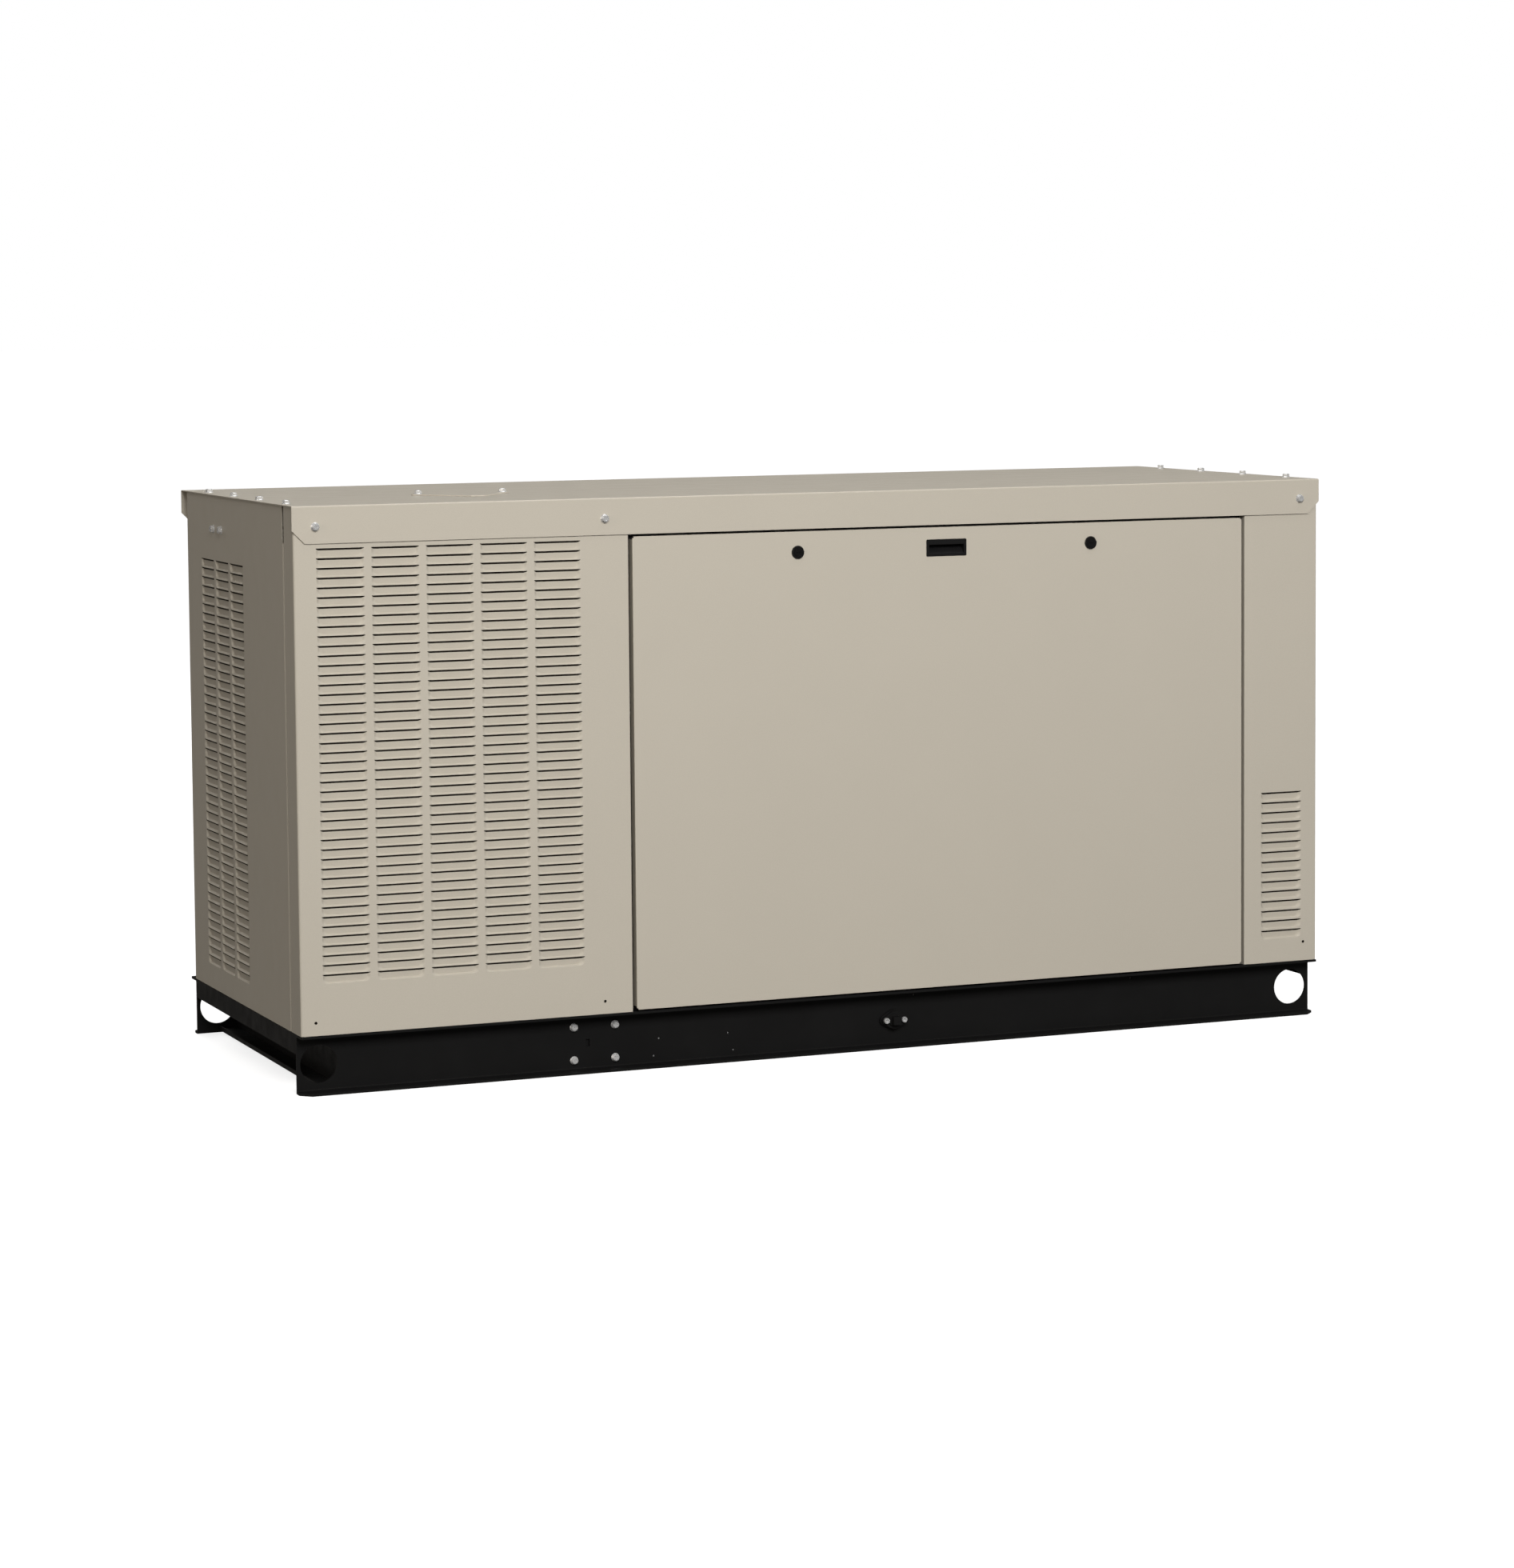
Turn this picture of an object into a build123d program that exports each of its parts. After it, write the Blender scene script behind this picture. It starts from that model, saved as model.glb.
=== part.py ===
from build123d import *
import os
from math import pi, sin, cos, radians, sqrt, tan

os.makedirs("parts", exist_ok=True)

# ---------------------------------------------------------------------------
# Home standby generator in a steel sound enclosure on a skid base.
# Frame: origin at the middle of the footprint, on the ground; +X along the
# length towards the control end, -Y is the service (door) side, +Z up.  mm.
# ---------------------------------------------------------------------------

# ---- overall ---------------------------------------------------------------
ROOF_L = 2280.0          # roof sheet length
ROOF_W = 836.0           # roof sheet width over both lips
ROOF_TOP = 1159.0        # top face of the roof sheet
SHEET = 2.0              # sheet metal thickness
LIP = 74.0               # depth of the roof lips
LIP_CUT = 27.0           # corner cut of the lips

BODY_X = 1137.0          # outer face of the end panels
FRONT_Y = -416.0         # outer face of front panels and door
REAR_Y = 385.0           # outer face of the rear panels

# ---- skid base -------------------------------------------------------------
RAIL_H = 119.0
RAIL_T = 5.0
RAIL_TIP = 416.0         # flange tips
RAIL_WEB = 380.0         # outer face of the web
LIFT_X, LIFT_Z, LIFT_R = 1092.0, 58.0, 38.0
MEMBER_X = (-513.5, 40.0, 330.0)

# ---- door and panels -------------------------------------------------------
DOOR_X0, DOOR_X1 = -434.0, 953.0
DOOR_Z0, DOOR_Z1 = 122.5, 1080.0
GAP = 8.0
DOOR_FLANGE = 20.0
LOCK_X = (-74.0, 593.0)
LOCK_Z = 1037.5
PULL_X, PULL_Z, PULL_W, PULL_H = 259.5, 1037.5, 92.0, 36.0
WRAP = 66.0              # side return of the front corner panels

# ---- louvres ---------------------------------------------------------------
LV_W, LV_SLIT, LV_PITCH = 98.0, 3.4, 19.0
LV_ROWS = 45
LV_TOP_FRONT = 1073.2
LV_COLS_FRONT = [-1042.5 + 112.2 * i for i in range(5)]
LV_TOP_END = 1021.0
LV_COLS_END = (222.0, 111.0, 0.0)
LV_SMALL_X, LV_SMALL_TOP, LV_SMALL_PITCH, LV_SMALL_ROWS = 1050.7, 485.7, 21.32, 15

# ---- engine line -----------------------------------------------------------
CRANK_Z = 400.0
FAN_Z = 600.0
CRANK_R = 85.0           # belt radius on the crank pulley
FANP_R = 70.0            # belt radius on the fan pulley
BELT_X0, BELT_X1 = -541.0, -524.0
GEN_R = 185.0
RAD_X0, RAD_X1 = -712.0, -656.0
BULK_X = -652.0          # plenum side face of the radiator bulkhead
CAP_X, CAP_Y = -688.0, -95.0

MIN3 = (Align.MIN, Align.MIN, Align.MIN)
BASE = (Align.CENTER, Align.CENTER, Align.MIN)
TOX = (0, 90, 0)         # turns a +Z axis to +X
TONX = (0, -90, 0)       # to -X
TOY = (-90, 0, 0)        # to +Y
TONY = (90, 0, 0)        # to -Y


def block(x0, x1, y0, y1, z0, z1, mode=Mode.ADD):
    """Rectangular block between two corners."""
    with Locations((min(x0, x1), min(y0, y1), min(z0, z1))):
        return Box(abs(x1 - x0), abs(y1 - y0), abs(z1 - z0), align=MIN3, mode=mode)


def rod(p, r, h, rot=(0, 0, 0), mode=Mode.ADD):
    """Cylinder that starts at p and runs h along its turned +Z axis."""
    with Locations(Location(p, rot)):
        return Cylinder(r, h, align=BASE, mode=mode)


def write(part, name):
    part.label = name
    export_step(part, f"parts/{name}.step")
    return part


# ===========================================================================
# Skid base
# ===========================================================================

# C-channel rails, open side outwards, lifting holes at both ends
with BuildPart() as skid_rail_front:
    with BuildSketch(Plane.YZ.offset(-BODY_X)):
        with BuildLine():
            Polyline((-RAIL_TIP, 0), (-RAIL_WEB + RAIL_T, 0), (-RAIL_WEB + RAIL_T, RAIL_H),
                     (-RAIL_TIP, RAIL_H), (-RAIL_TIP, RAIL_H - RAIL_T), (-RAIL_WEB, RAIL_H - RAIL_T),
                     (-RAIL_WEB, RAIL_T), (-RAIL_TIP, RAIL_T), close=True)
        make_face()
    extrude(amount=2 * BODY_X)
    inner = skid_rail_front.edges().filter_by(Axis.X).filter_by(
        lambda e: abs(e.center().Y + RAIL_WEB) < 0.1 or abs(e.center().Y + RAIL_WEB - RAIL_T) < 0.1)
    fillet(inner, radius=3)
    # lifting holes, bracket bolt holes, slot and small holes in the web
    with BuildSketch(Plane.XZ.offset(RAIL_WEB - 20)):
        with Locations((-LIFT_X, LIFT_Z), (LIFT_X, LIFT_Z)):
            Circle(LIFT_R)
        with Locations((-513.5, 56.8)):
            with GridLocations(88.5, 67.4, 2, 2):
                Circle(5.3)
        with Locations((-528.0, 57.0)):
            Rectangle(8, 15)
        with Locations((-385.0, 20.0), (-373.6, 55.0), (-221.5, 55.0), (-210.0, 19.0), (197.3, 103.0), (705.1, 103.0)):
            Circle(2.6)
        with Locations((148.0, 55.5)):
            Circle(14)
        with Locations((128.0, 55.5), (168.0, 55.5)):
            Circle(3.7)
    extrude(amount=30, mode=Mode.SUBTRACT)
    # clipped corners of the lower flange
    with BuildSketch(Plane.XY.offset(-1)):
        for s in (-1, 1):
            with BuildLine():
                Polyline((s * (BODY_X + 1), -RAIL_TIP - 1), (s * (BODY_X - 22), -RAIL_TIP - 1),
                         (s * (BODY_X + 1), -RAIL_TIP + 21), close=True)
            make_face()
    extrude(amount=10, mode=Mode.SUBTRACT)
write(skid_rail_front.part, "skid_rail_front")

with BuildPart() as skid_rail_rear:
    with BuildSketch(Plane.YZ.offset(-BODY_X)):
        with BuildLine():
            Polyline((RAIL_TIP, 0), (RAIL_WEB - RAIL_T, 0), (RAIL_WEB - RAIL_T, RAIL_H),
                     (RAIL_TIP, RAIL_H), (RAIL_TIP, RAIL_H - RAIL_T), (RAIL_WEB, RAIL_H - RAIL_T),
                     (RAIL_WEB, RAIL_T), (RAIL_TIP, RAIL_T), close=True)
        make_face()
    extrude(amount=2 * BODY_X)
    inner = skid_rail_rear.edges().filter_by(Axis.X).filter_by(
        lambda e: abs(e.center().Y - RAIL_WEB) < 0.1 or abs(e.center().Y - RAIL_WEB + RAIL_T) < 0.1)
    fillet(inner, radius=3)
    with BuildSketch(Plane.XZ.offset(-RAIL_WEB - 10)):
        with Locations((-LIFT_X, LIFT_Z), (LIFT_X, LIFT_Z)):
            Circle(LIFT_R)
        with Locations((-513.5, 56.8)):
            with GridLocations(88.5, 67.4, 2, 2):
                Circle(5.3)
        with Locations((-60.0, 58.0)):
            Circle(14)
    extrude(amount=30, mode=Mode.SUBTRACT)
    with BuildSketch(Plane.XY.offset(-1)):
        for s in (-1, 1):
            with BuildLine():
                Polyline((s * (BODY_X + 1), RAIL_TIP + 1), (s * (BODY_X - 22), RAIL_TIP + 1),
                         (s * (BODY_X + 1), RAIL_TIP - 21), close=True)
            make_face()
    extrude(amount=10, mode=Mode.SUBTRACT)
write(skid_rail_rear.part, "skid_rail_rear")

# end sills, full height end members, engine and alternator members
WEB_IN = RAIL_WEB - RAIL_T
with BuildPart() as base_cross_members:
    for s in (-1, 1):
        # angle sill under the end panel
        block(s * (BODY_X - 5), s * BODY_X, -WEB_IN, WEB_IN, 79, RAIL_H)
        block(s * 1078, s * (BODY_X - 5), -WEB_IN, WEB_IN, RAIL_H - 5, RAIL_H)
        # full height channel just inboard of the lifting holes
        block(s * 1045, s * 1050, -WEB_IN, WEB_IN, 6, RAIL_H)
        block(s * 1005, s * 1045, -WEB_IN, WEB_IN, 6, 11)
        block(s * 1005, s * 1045, -WEB_IN, WEB_IN, RAIL_H - 5, RAIL_H)
    for i, mx in enumerate(MEMBER_X):
        ye = WEB_IN - 6 if i == 0 else WEB_IN
        block(mx - 25, mx - 20, -ye, ye, 11, RAIL_H)
        block(mx - 20, mx + 25, -ye, ye, 11, 16)
        block(mx - 20, mx + 25, -ye, ye, RAIL_H - 5, RAIL_H)
    # bolted end plates of the front engine member
    for s in (-1, 1):
        block(MEMBER_X[0] - 60, MEMBER_X[0] + 60, s * WEB_IN, s * (WEB_IN - 6), 6, 108)
        with BuildSketch(Plane.XZ.offset(-s * (WEB_IN - 3) - 10)):
            with Locations((-513.5, 56.8)):
                with GridLocations(88.5, 67.4, 2, 2):
                    Circle(5.3)
        extrude(amount=20, mode=Mode.SUBTRACT)
write(base_cross_members.part, "base_cross_members")

# floor pan with the conduit opening, the gas riser hole and the drain hose hole
with BuildPart() as base_pan:
    with BuildSketch(Plane.XY.offset(RAIL_H)):
        with Locations((0, -16)):
            Rectangle(2 * 1110, 748)
        with Locations((770, 40)):
            RectangleRounded(260, 200, 20, mode=Mode.SUBTRACT)
        with Locations((-60, 300)):
            Circle(18, mode=Mode.SUBTRACT)
        with Locations((148, -290)):
            Circle(18, mode=Mode.SUBTRACT)
    extrude(amount=SHEET)
write(base_pan.part, "base_pan")

# hexagon bolts of the bolted member, front and rear, and the drain flange screws
with BuildPart() as rail_fasteners:
    for s in (-1, 1):
        rot = TONY if s < 0 else TOY
        for dx in (-44.25, 44.25):
            for dz in (-33.7, 33.7):
                x, z = -513.5 + dx, 56.8 + dz
                rod((x, s * RAIL_WEB, z), 11, 1.6, rot)
                with Locations(Location((x, s * (RAIL_WEB + 1.6), z), rot)):
                    with BuildSketch(Plane.XY, mode=Mode.PRIVATE) as hx:
                        RegularPolygon(16 / sqrt(3), 6)
                    add(extrude(hx.sketch, 6.4, mode=Mode.PRIVATE))
                rod((x, s * (RAIL_WEB + 0.0), z), 4.9, 24, TOY if s < 0 else TONY)
    for x in (128.0, 168.0):
        rod((x, -RAIL_WEB - 12, 55.5), 6.0, 6.0, TONY)
        rod((x, -RAIL_WEB - 12, 55.5), 3.0, 17.0, TOY)
        with Locations(Location((x, -RAIL_WEB - 18, 55.5), TOY)):
            with BuildSketch(Plane.XY, mode=Mode.PRIVATE) as hx:
                RegularPolygon(5 / sqrt(3), 6)
            add(extrude(hx.sketch, 3.5, mode=Mode.PRIVATE), mode=Mode.SUBTRACT)
write(rail_fasteners.part, "rail_fasteners")

# two-bolt oil drain flange: two stacked lozenge plates with a central port
with BuildPart() as drain_flange:
    with BuildSketch(Plane.XZ.offset(RAIL_WEB)):
        with Locations((148.0, 55.5)):
            Circle(21)
        with BuildSketch(mode=Mode.ADD):
            with Locations((127.0, 55.5), (169.0, 55.5)):
                Circle(10)
            with BuildLine():
                Polyline((123, 64.8), (139, 74.5), (157, 74.5), (173, 64.8),
                         (173, 46.2), (157, 36.5), (139, 36.5), (123, 46.2), close=True)
            make_face()
    extrude(amount=6)
    with BuildSketch(Plane.XZ.offset(RAIL_WEB + 6)):
        with Locations((148.0, 55.5)):
            Circle(18.5)
        with Locations((128.0, 55.5), (168.0, 55.5)):
            Circle(8.5)
        with BuildLine():
            Polyline((126, 63.6), (140, 72.2), (156, 72.2), (170, 63.6),
                     (170, 47.4), (156, 38.8), (140, 38.8), (126, 47.4), close=True)
        make_face()
    extrude(amount=6)
    rod((148.0, -RAIL_WEB - 13, 55.5), 11.5, 14, TOY, mode=Mode.SUBTRACT)
    for x in (128.0, 168.0):
        rod((x, -RAIL_WEB - 13, 55.5), 3.3, 14, TOY, mode=Mode.SUBTRACT)
write(drain_flange.part, "drain_flange")

# square-head pipe plug
with BuildPart() as drain_plug:
    rod((148.0, -RAIL_WEB - 12, 55.5), 11.2, 11.5, TOY)
    rod((148.0, -RAIL_WEB - 12, 55.5), 14, 3, TONY)
    with BuildSketch(Plane.XZ.offset(RAIL_WEB + 15)):
        with Locations((148.0, 55.5)):
            RectangleRounded(18, 18, 1.5)
    extrude(amount=11, taper=3)
write(drain_plug.part, "drain_plug")

# drain hose from the sump down through the floor pan to the rail
with BuildPart() as drain_hose:
    with BuildLine() as hose_path:
        FilletPolyline((-10, -105.5, 250), (-10, -215, 250), (148, -290, 250), (148, -290, 55.5),
                       (148, -RAIL_WEB + RAIL_T + 0.5, 55.5), radius=[45, 45, 38])
    with BuildSketch(Plane(origin=hose_path.line @ 0, z_dir=hose_path.line % 0)):
        Circle(12)
    sweep()
write(drain_hose.part, "drain_hose")

# ===========================================================================
# Enclosure
# ===========================================================================

# roof: flat sheet with a front and a rear lip, lower lip corners cut
with BuildPart() as roof:
    with BuildSketch(Plane.YZ.offset(-ROOF_L / 2)):
        with BuildLine():
            Polyline((-ROOF_W / 2, ROOF_TOP - LIP), (-ROOF_W / 2, ROOF_TOP), (ROOF_W / 2, ROOF_TOP),
                     (ROOF_W / 2, ROOF_TOP - LIP), (ROOF_W / 2 - SHEET, ROOF_TOP - LIP),
                     (ROOF_W / 2 - SHEET, ROOF_TOP - SHEET), (-ROOF_W / 2 + SHEET, ROOF_TOP - SHEET),
                     (-ROOF_W / 2 + SHEET, ROOF_TOP - LIP), close=True)
        make_face()
    extrude(amount=ROOF_L)
    fillet(roof.edges().filter_by(Axis.X).filter_by(
        lambda e: abs(e.center().Z - ROOF_TOP) < 0.1), radius=3)
    with BuildSketch(Plane.XZ.offset(-ROOF_W / 2 - 10)):
        for s in (-1, 1):
            with BuildLine():
                Polyline((s * (ROOF_L / 2 + 1), ROOF_TOP - LIP + LIP_CUT), (s * (ROOF_L / 2 + 1), ROOF_TOP - LIP - 1),
                         (s * (ROOF_L / 2 - LIP_CUT), ROOF_TOP - LIP - 1), close=True)
            make_face()
    extrude(amount=ROOF_W + 20, mode=Mode.SUBTRACT)
    # coolant filler opening
    rod((CAP_X, CAP_Y, ROOF_TOP - 10), 55, 20, mode=Mode.SUBTRACT)
    # bolt holes
    for x in (-1120, 1120):
        for y in (-312, -120, 72, 264):
            rod((x, y, ROOF_TOP - 10), 4.5, 20, mode=Mode.SUBTRACT)
    for x in (-779, -597):
        rod((x, CAP_Y, ROOF_TOP - 10), 4.5, 20, mode=Mode.SUBTRACT)
    for x in (-1093, -493, 1093):
        rod((x, -ROOF_W / 2 - 5, 1118), 4.5, 10, TOY, mode=Mode.SUBTRACT)
write(roof.part, "roof")

# lozenge cover plate over the coolant filler opening
with BuildPart() as fill_cover_plate:
    with BuildSketch(Plane.XY.offset(ROOF_TOP)):
        with BuildLine():
            Polyline((-795, -95), (-704, -213), (-674, -213), (-581, -95),
                     (-674, 23), (-704, 23), close=True)
        make_face()
    extrude(amount=2.5)
    tips = fill_cover_plate.edges().filter_by(Axis.Z).sort_by(Axis.X)
    fillet([tips[0], tips[-1]], radius=9)
    for x in (-779, -597):
        rod((x, CAP_Y, ROOF_TOP - 1), 4.5, 6, mode=Mode.SUBTRACT)
write(fill_cover_plate.part, "fill_cover_plate")

# zinc flange bolts of roof, lips, cover plate and end panels: identical, one group
BOLT_SPOTS = (
    [((x, y, ROOF_TOP), (0, 0, 0)) for x in (-1120, 1120) for y in (-312, -120, 72, 264)]
    + [((x, CAP_Y, ROOF_TOP + 2.5), (0, 0, 0)) for x in (-779, -597)]
    + [((x, -ROOF_W / 2, 1118), TONY) for x in (-1093, -493, 1093)]
    + [((s * BODY_X, y, 1088), TONX if s < 0 else TOX) for s in (-1, 1) for y in (112, 172)]
    + [((x, REAR_Y, z), TOY) for x in (-404, -20, 400, 780) for z in (160, 1060)]
)
with BuildPart() as enclosure_bolts:
    for p, rot in BOLT_SPOTS:
        rod(p, 8.8, 1.6, rot)
        loc = Location(p, rot) * Location((0, 0, 1.6))
        with Locations(loc):
            with BuildSketch(Plane.XY, mode=Mode.PRIVATE) as hx:
                RegularPolygon(13 / sqrt(3), 6)
            add(extrude(hx.sketch, 6.0, mode=Mode.PRIVATE))
        with Locations(Location(p, rot)):
            Cylinder(3.9, 12, align=(Align.CENTER, Align.CENTER, Align.MAX))
write(enclosure_bolts.part, "enclosure_bolts")

# front left corner panel: louvred face with a return around the corner
with BuildPart() as front_louvre_panel:
    with BuildSketch(Plane.XY.offset(RAIL_H + 0.5)):
        with BuildLine():
            Polyline((-BODY_X, FRONT_Y + WRAP), (-BODY_X, FRONT_Y), (DOOR_X0 - GAP, FRONT_Y),
                     (DOOR_X0 - GAP, -392), (DOOR_X0 - GAP - SHEET, -392), (DOOR_X0 - GAP - SHEET, FRONT_Y + SHEET),
                     (-BODY_X + SHEET, FRONT_Y + SHEET), (-BODY_X + SHEET, FRONT_Y + WRAP), close=True)
        make_face()
    extrude(amount=ROOF_TOP - SHEET - RAIL_H - 1)
    corner = front_louvre_panel.edges().filter_by(Axis.Z)
    fillet(corner.filter_by(lambda e: abs(e.center().X + BODY_X) < 0.1 and abs(e.center().Y - FRONT_Y) < 0.1), radius=5)
    with BuildSketch(Plane.XZ.offset(-FRONT_Y - 10)):
        with Locations((LV_COLS_FRONT[2], LV_TOP_FRONT - 22 * LV_PITCH)):
            with GridLocations(112.2, LV_PITCH, 5, LV_ROWS):
                Rectangle(LV_W, LV_SLIT)
        with Locations((-1106.6, 145), (-502.2, 145)):
            Circle(3)
        with Locations((-1093, 1118), (-493, 1118)):
            Circle(4.5)
    extrude(amount=20, mode=Mode.SUBTRACT)
write(front_louvre_panel.part, "front_louvre_panel")

# front right corner panel with its short bank of louvres
with BuildPart() as front_right_panel:
    with BuildSketch(Plane.XY.offset(RAIL_H + 0.5)):
        with BuildLine():
            Polyline((BODY_X, FRONT_Y + WRAP), (BODY_X, FRONT_Y), (DOOR_X1 + GAP, FRONT_Y),
                     (DOOR_X1 + GAP, -392), (DOOR_X1 + GAP + SHEET, -392), (DOOR_X1 + GAP + SHEET, FRONT_Y + SHEET),
                     (BODY_X - SHEET, FRONT_Y + SHEET), (BODY_X - SHEET, FRONT_Y + WRAP), close=True)
        make_face()
    extrude(amount=ROOF_TOP - SHEET - RAIL_H - 1)
    corner = front_right_panel.edges().filter_by(Axis.Z)
    fillet(corner.filter_by(lambda e: abs(e.center().X - BODY_X) < 0.1 and abs(e.center().Y - FRONT_Y) < 0.1), radius=5)
    with BuildSketch(Plane.XZ.offset(-FRONT_Y - 10)):
        with Locations((LV_SMALL_X, LV_SMALL_TOP - 7 * LV_SMALL_PITCH)):
            with GridLocations(100, LV_SMALL_PITCH, 1, LV_SMALL_ROWS):
                Rectangle(LV_W, LV_SLIT)
        with Locations((1105, 160)):
            Circle(3)
        with Locations((1093, 1118)):
            Circle(4.5)
    extrude(amount=20, mode=Mode.SUBTRACT)
write(front_right_panel.part, "front_right_panel")

# end panels: pans with edge flanges turned in, three louvre columns towards the rear
END_Y0 = FRONT_Y + WRAP + 6
with BuildPart() as left_end_panel:
    with BuildSketch(Plane.XY.offset(RAIL_H + 0.5)):
        with BuildLine():
            Polyline((-BODY_X, END_Y0), (-BODY_X, REAR_Y), (-BODY_X + 22, REAR_Y), (-BODY_X + 22, REAR_Y - SHEET),
                     (-BODY_X + SHEET, REAR_Y - SHEET), (-BODY_X + SHEET, END_Y0 + SHEET),
                     (-BODY_X + 20, END_Y0 + SHEET), (-BODY_X + 20, END_Y0), close=True)
        make_face()
    extrude(amount=ROOF_TOP - SHEET - RAIL_H - 0.5)
    block(-BODY_X + SHEET, -BODY_X + 34, -340, 375, ROOF_TOP - 2 * SHEET, ROOF_TOP - SHEET)
    zed = left_end_panel.edges().filter_by(Axis.Z)
    fillet(zed.filter_by(lambda e: abs(e.center().X + BODY_X) < 0.1), radius=5)
    with BuildSketch(Plane.YZ.offset(-BODY_X - 10)):
        with Locations((LV_COLS_END[1], LV_TOP_END - 22 * LV_PITCH)):
            with GridLocations(111, LV_PITCH, 3, LV_ROWS):
                Rectangle(LV_W, LV_SLIT)
        with Locations((112, 1088), (172, 1088)):
            Circle(4.5)
    extrude(amount=20, mode=Mode.SUBTRACT)
    for y in (-312, -120, 72, 264):
        rod((-1120, y, ROOF_TOP - 10), 4.5, 20, mode=Mode.SUBTRACT)
write(left_end_panel.part, "left_end_panel")

with BuildPart() as right_end_panel:
    with BuildSketch(Plane.XY.offset(RAIL_H + 0.5)):
        with BuildLine():
            Polyline((BODY_X, END_Y0), (BODY_X, REAR_Y), (BODY_X - 22, REAR_Y), (BODY_X - 22, REAR_Y - SHEET),
                     (BODY_X - SHEET, REAR_Y - SHEET), (BODY_X - SHEET, END_Y0 + SHEET),
                     (BODY_X - 20, END_Y0 + SHEET), (BODY_X - 20, END_Y0), close=True)
        make_face()
    extrude(amount=ROOF_TOP - SHEET - RAIL_H - 0.5)
    block(BODY_X - SHEET, BODY_X - 34, -340, 375, ROOF_TOP - 2 * SHEET, ROOF_TOP - SHEET)
    zed = right_end_panel.edges().filter_by(Axis.Z)
    fillet(zed.filter_by(lambda e: abs(e.center().X - BODY_X) < 0.1), radius=5)
    with BuildSketch(Plane.YZ.offset(BODY_X - 10)):
        with Locations((LV_COLS_END[1], LV_TOP_END - 22 * LV_PITCH)):
            with GridLocations(111, LV_PITCH, 3, LV_ROWS):
                Rectangle(LV_W, LV_SLIT)
        with Locations((112, 1088), (172, 1088)):
            Circle(4.5)
    extrude(amount=20, mode=Mode.SUBTRACT)
    for y in (-312, -120, 72, 264):
        rod((1120, y, ROOF_TOP - 10), 4.5, 20, mode=Mode.SUBTRACT)
write(right_end_panel.part, "right_end_panel")

# rear panels: a louvred one at the radiator end, a plain bolted service panel
REAR_L0, REAR_L1 = -BODY_X + 23, -442.0
with BuildPart() as rear_louvre_panel:
    with BuildSketch(Plane.XY.offset(RAIL_H + 0.5)):
        with BuildLine():
            Polyline((REAR_L0, REAR_Y), (REAR_L1, REAR_Y), (REAR_L1, REAR_Y - 24), (REAR_L1 - SHEET, REAR_Y - 24),
                     (REAR_L1 - SHEET, REAR_Y - SHEET), (REAR_L0, REAR_Y - SHEET), close=True)
        make_face()
    extrude(amount=ROOF_TOP - SHEET - RAIL_H - 1)
    with BuildSketch(Plane.XZ.offset(-REAR_Y - 10)):
        with Locations((-790, LV_TOP_FRONT - 22 * LV_PITCH)):
            with GridLocations(112.2, LV_PITCH, 5, LV_ROWS):
                Rectangle(LV_W, LV_SLIT)
    extrude(amount=20, mode=Mode.SUBTRACT)
write(rear_louvre_panel.part, "rear_louvre_panel")

with BuildPart() as rear_service_panel:
    with BuildSketch(Plane.XY.offset(RAIL_H + 0.5)):
        with BuildLine():
            Polyline((-438, REAR_Y), (BODY_X - 23, REAR_Y), (BODY_X - 23, REAR_Y - SHEET), (-436, REAR_Y - SHEET),
                     (-436, REAR_Y - 24), (-438, REAR_Y - 24), close=True)
        make_face()
    extrude(amount=ROOF_TOP - SHEET - RAIL_H - 1)
    for x in (-404, -20, 400, 780):
        for z in (160, 1060):
            rod((x, REAR_Y - 10, z), 4.5, 20, TOY, mode=Mode.SUBTRACT)
write(rear_service_panel.part, "rear_service_panel")

# welded door frame: header, two jambs and sill, with a turned-in top flange
FRAME_Y = -392.0
with BuildPart() as door_frame:
    with BuildSketch(Plane.XZ.offset(-FRAME_Y - SHEET)):
        with BuildLine():
            Polyline((-444, RAIL_H + 2), (963, RAIL_H + 2), (963, ROOF_TOP - SHEET), (-444, ROOF_TOP - SHEET), close=True)
        make_face()
        with BuildLine():
            Polyline((-405, 150), (924, 150), (924, 1062), (-405, 1062), close=True)
        make_face(mode=Mode.SUBTRACT)
    extrude(amount=SHEET)
    block(-444, 963, FRAME_Y + SHEET, -352, ROOF_TOP - 2 * SHEET, ROOF_TOP - SHEET)
    block(-444, -442, FRAME_Y + SHEET, -345, RAIL_H + 2, ROOF_TOP - 2 * SHEET)
    block(961, 963, FRAME_Y + SHEET, -345, RAIL_H + 2, ROOF_TOP - 2 * SHEET)
    block(-444, 963, FRAME_Y + SHEET, -372, RAIL_H + 2, RAIL_H + 4)
write(door_frame.part, "door_frame")

# sound-absorbing foam under the roof
with BuildPart() as roof_liner:
    block(-570, 950, -340, 358, 1131, ROOF_TOP - SHEET)
    chamfer(roof_liner.edges().group_by(Axis.Z)[0], length=6)
write(roof_liner.part, "roof_liner")

# bulkhead between discharge plenum and engine bay, carries the radiator
with BuildPart() as radiator_bulkhead:
    with BuildSketch(Plane.YZ.offset(BULK_X)):
        with Locations((-16, 636)):
            Rectangle(794, 1028)
        with Locations((0, 650)):
            Rectangle(520, 670, mode=Mode.SUBTRACT)
        with Locations((200, 1020), (-200, 280)):
            Circle(23, mode=Mode.SUBTRACT)
        with Locations((330, 717)):
            Circle(31, mode=Mode.SUBTRACT)
    extrude(amount=SHEET)
    block(BULK_X, BULK_X - 20, -413, -411, 122, 1150)
    block(BULK_X, BULK_X - 20, 379, 381, 122, 1150)
write(radiator_bulkhead.part, "radiator_bulkhead")

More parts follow.
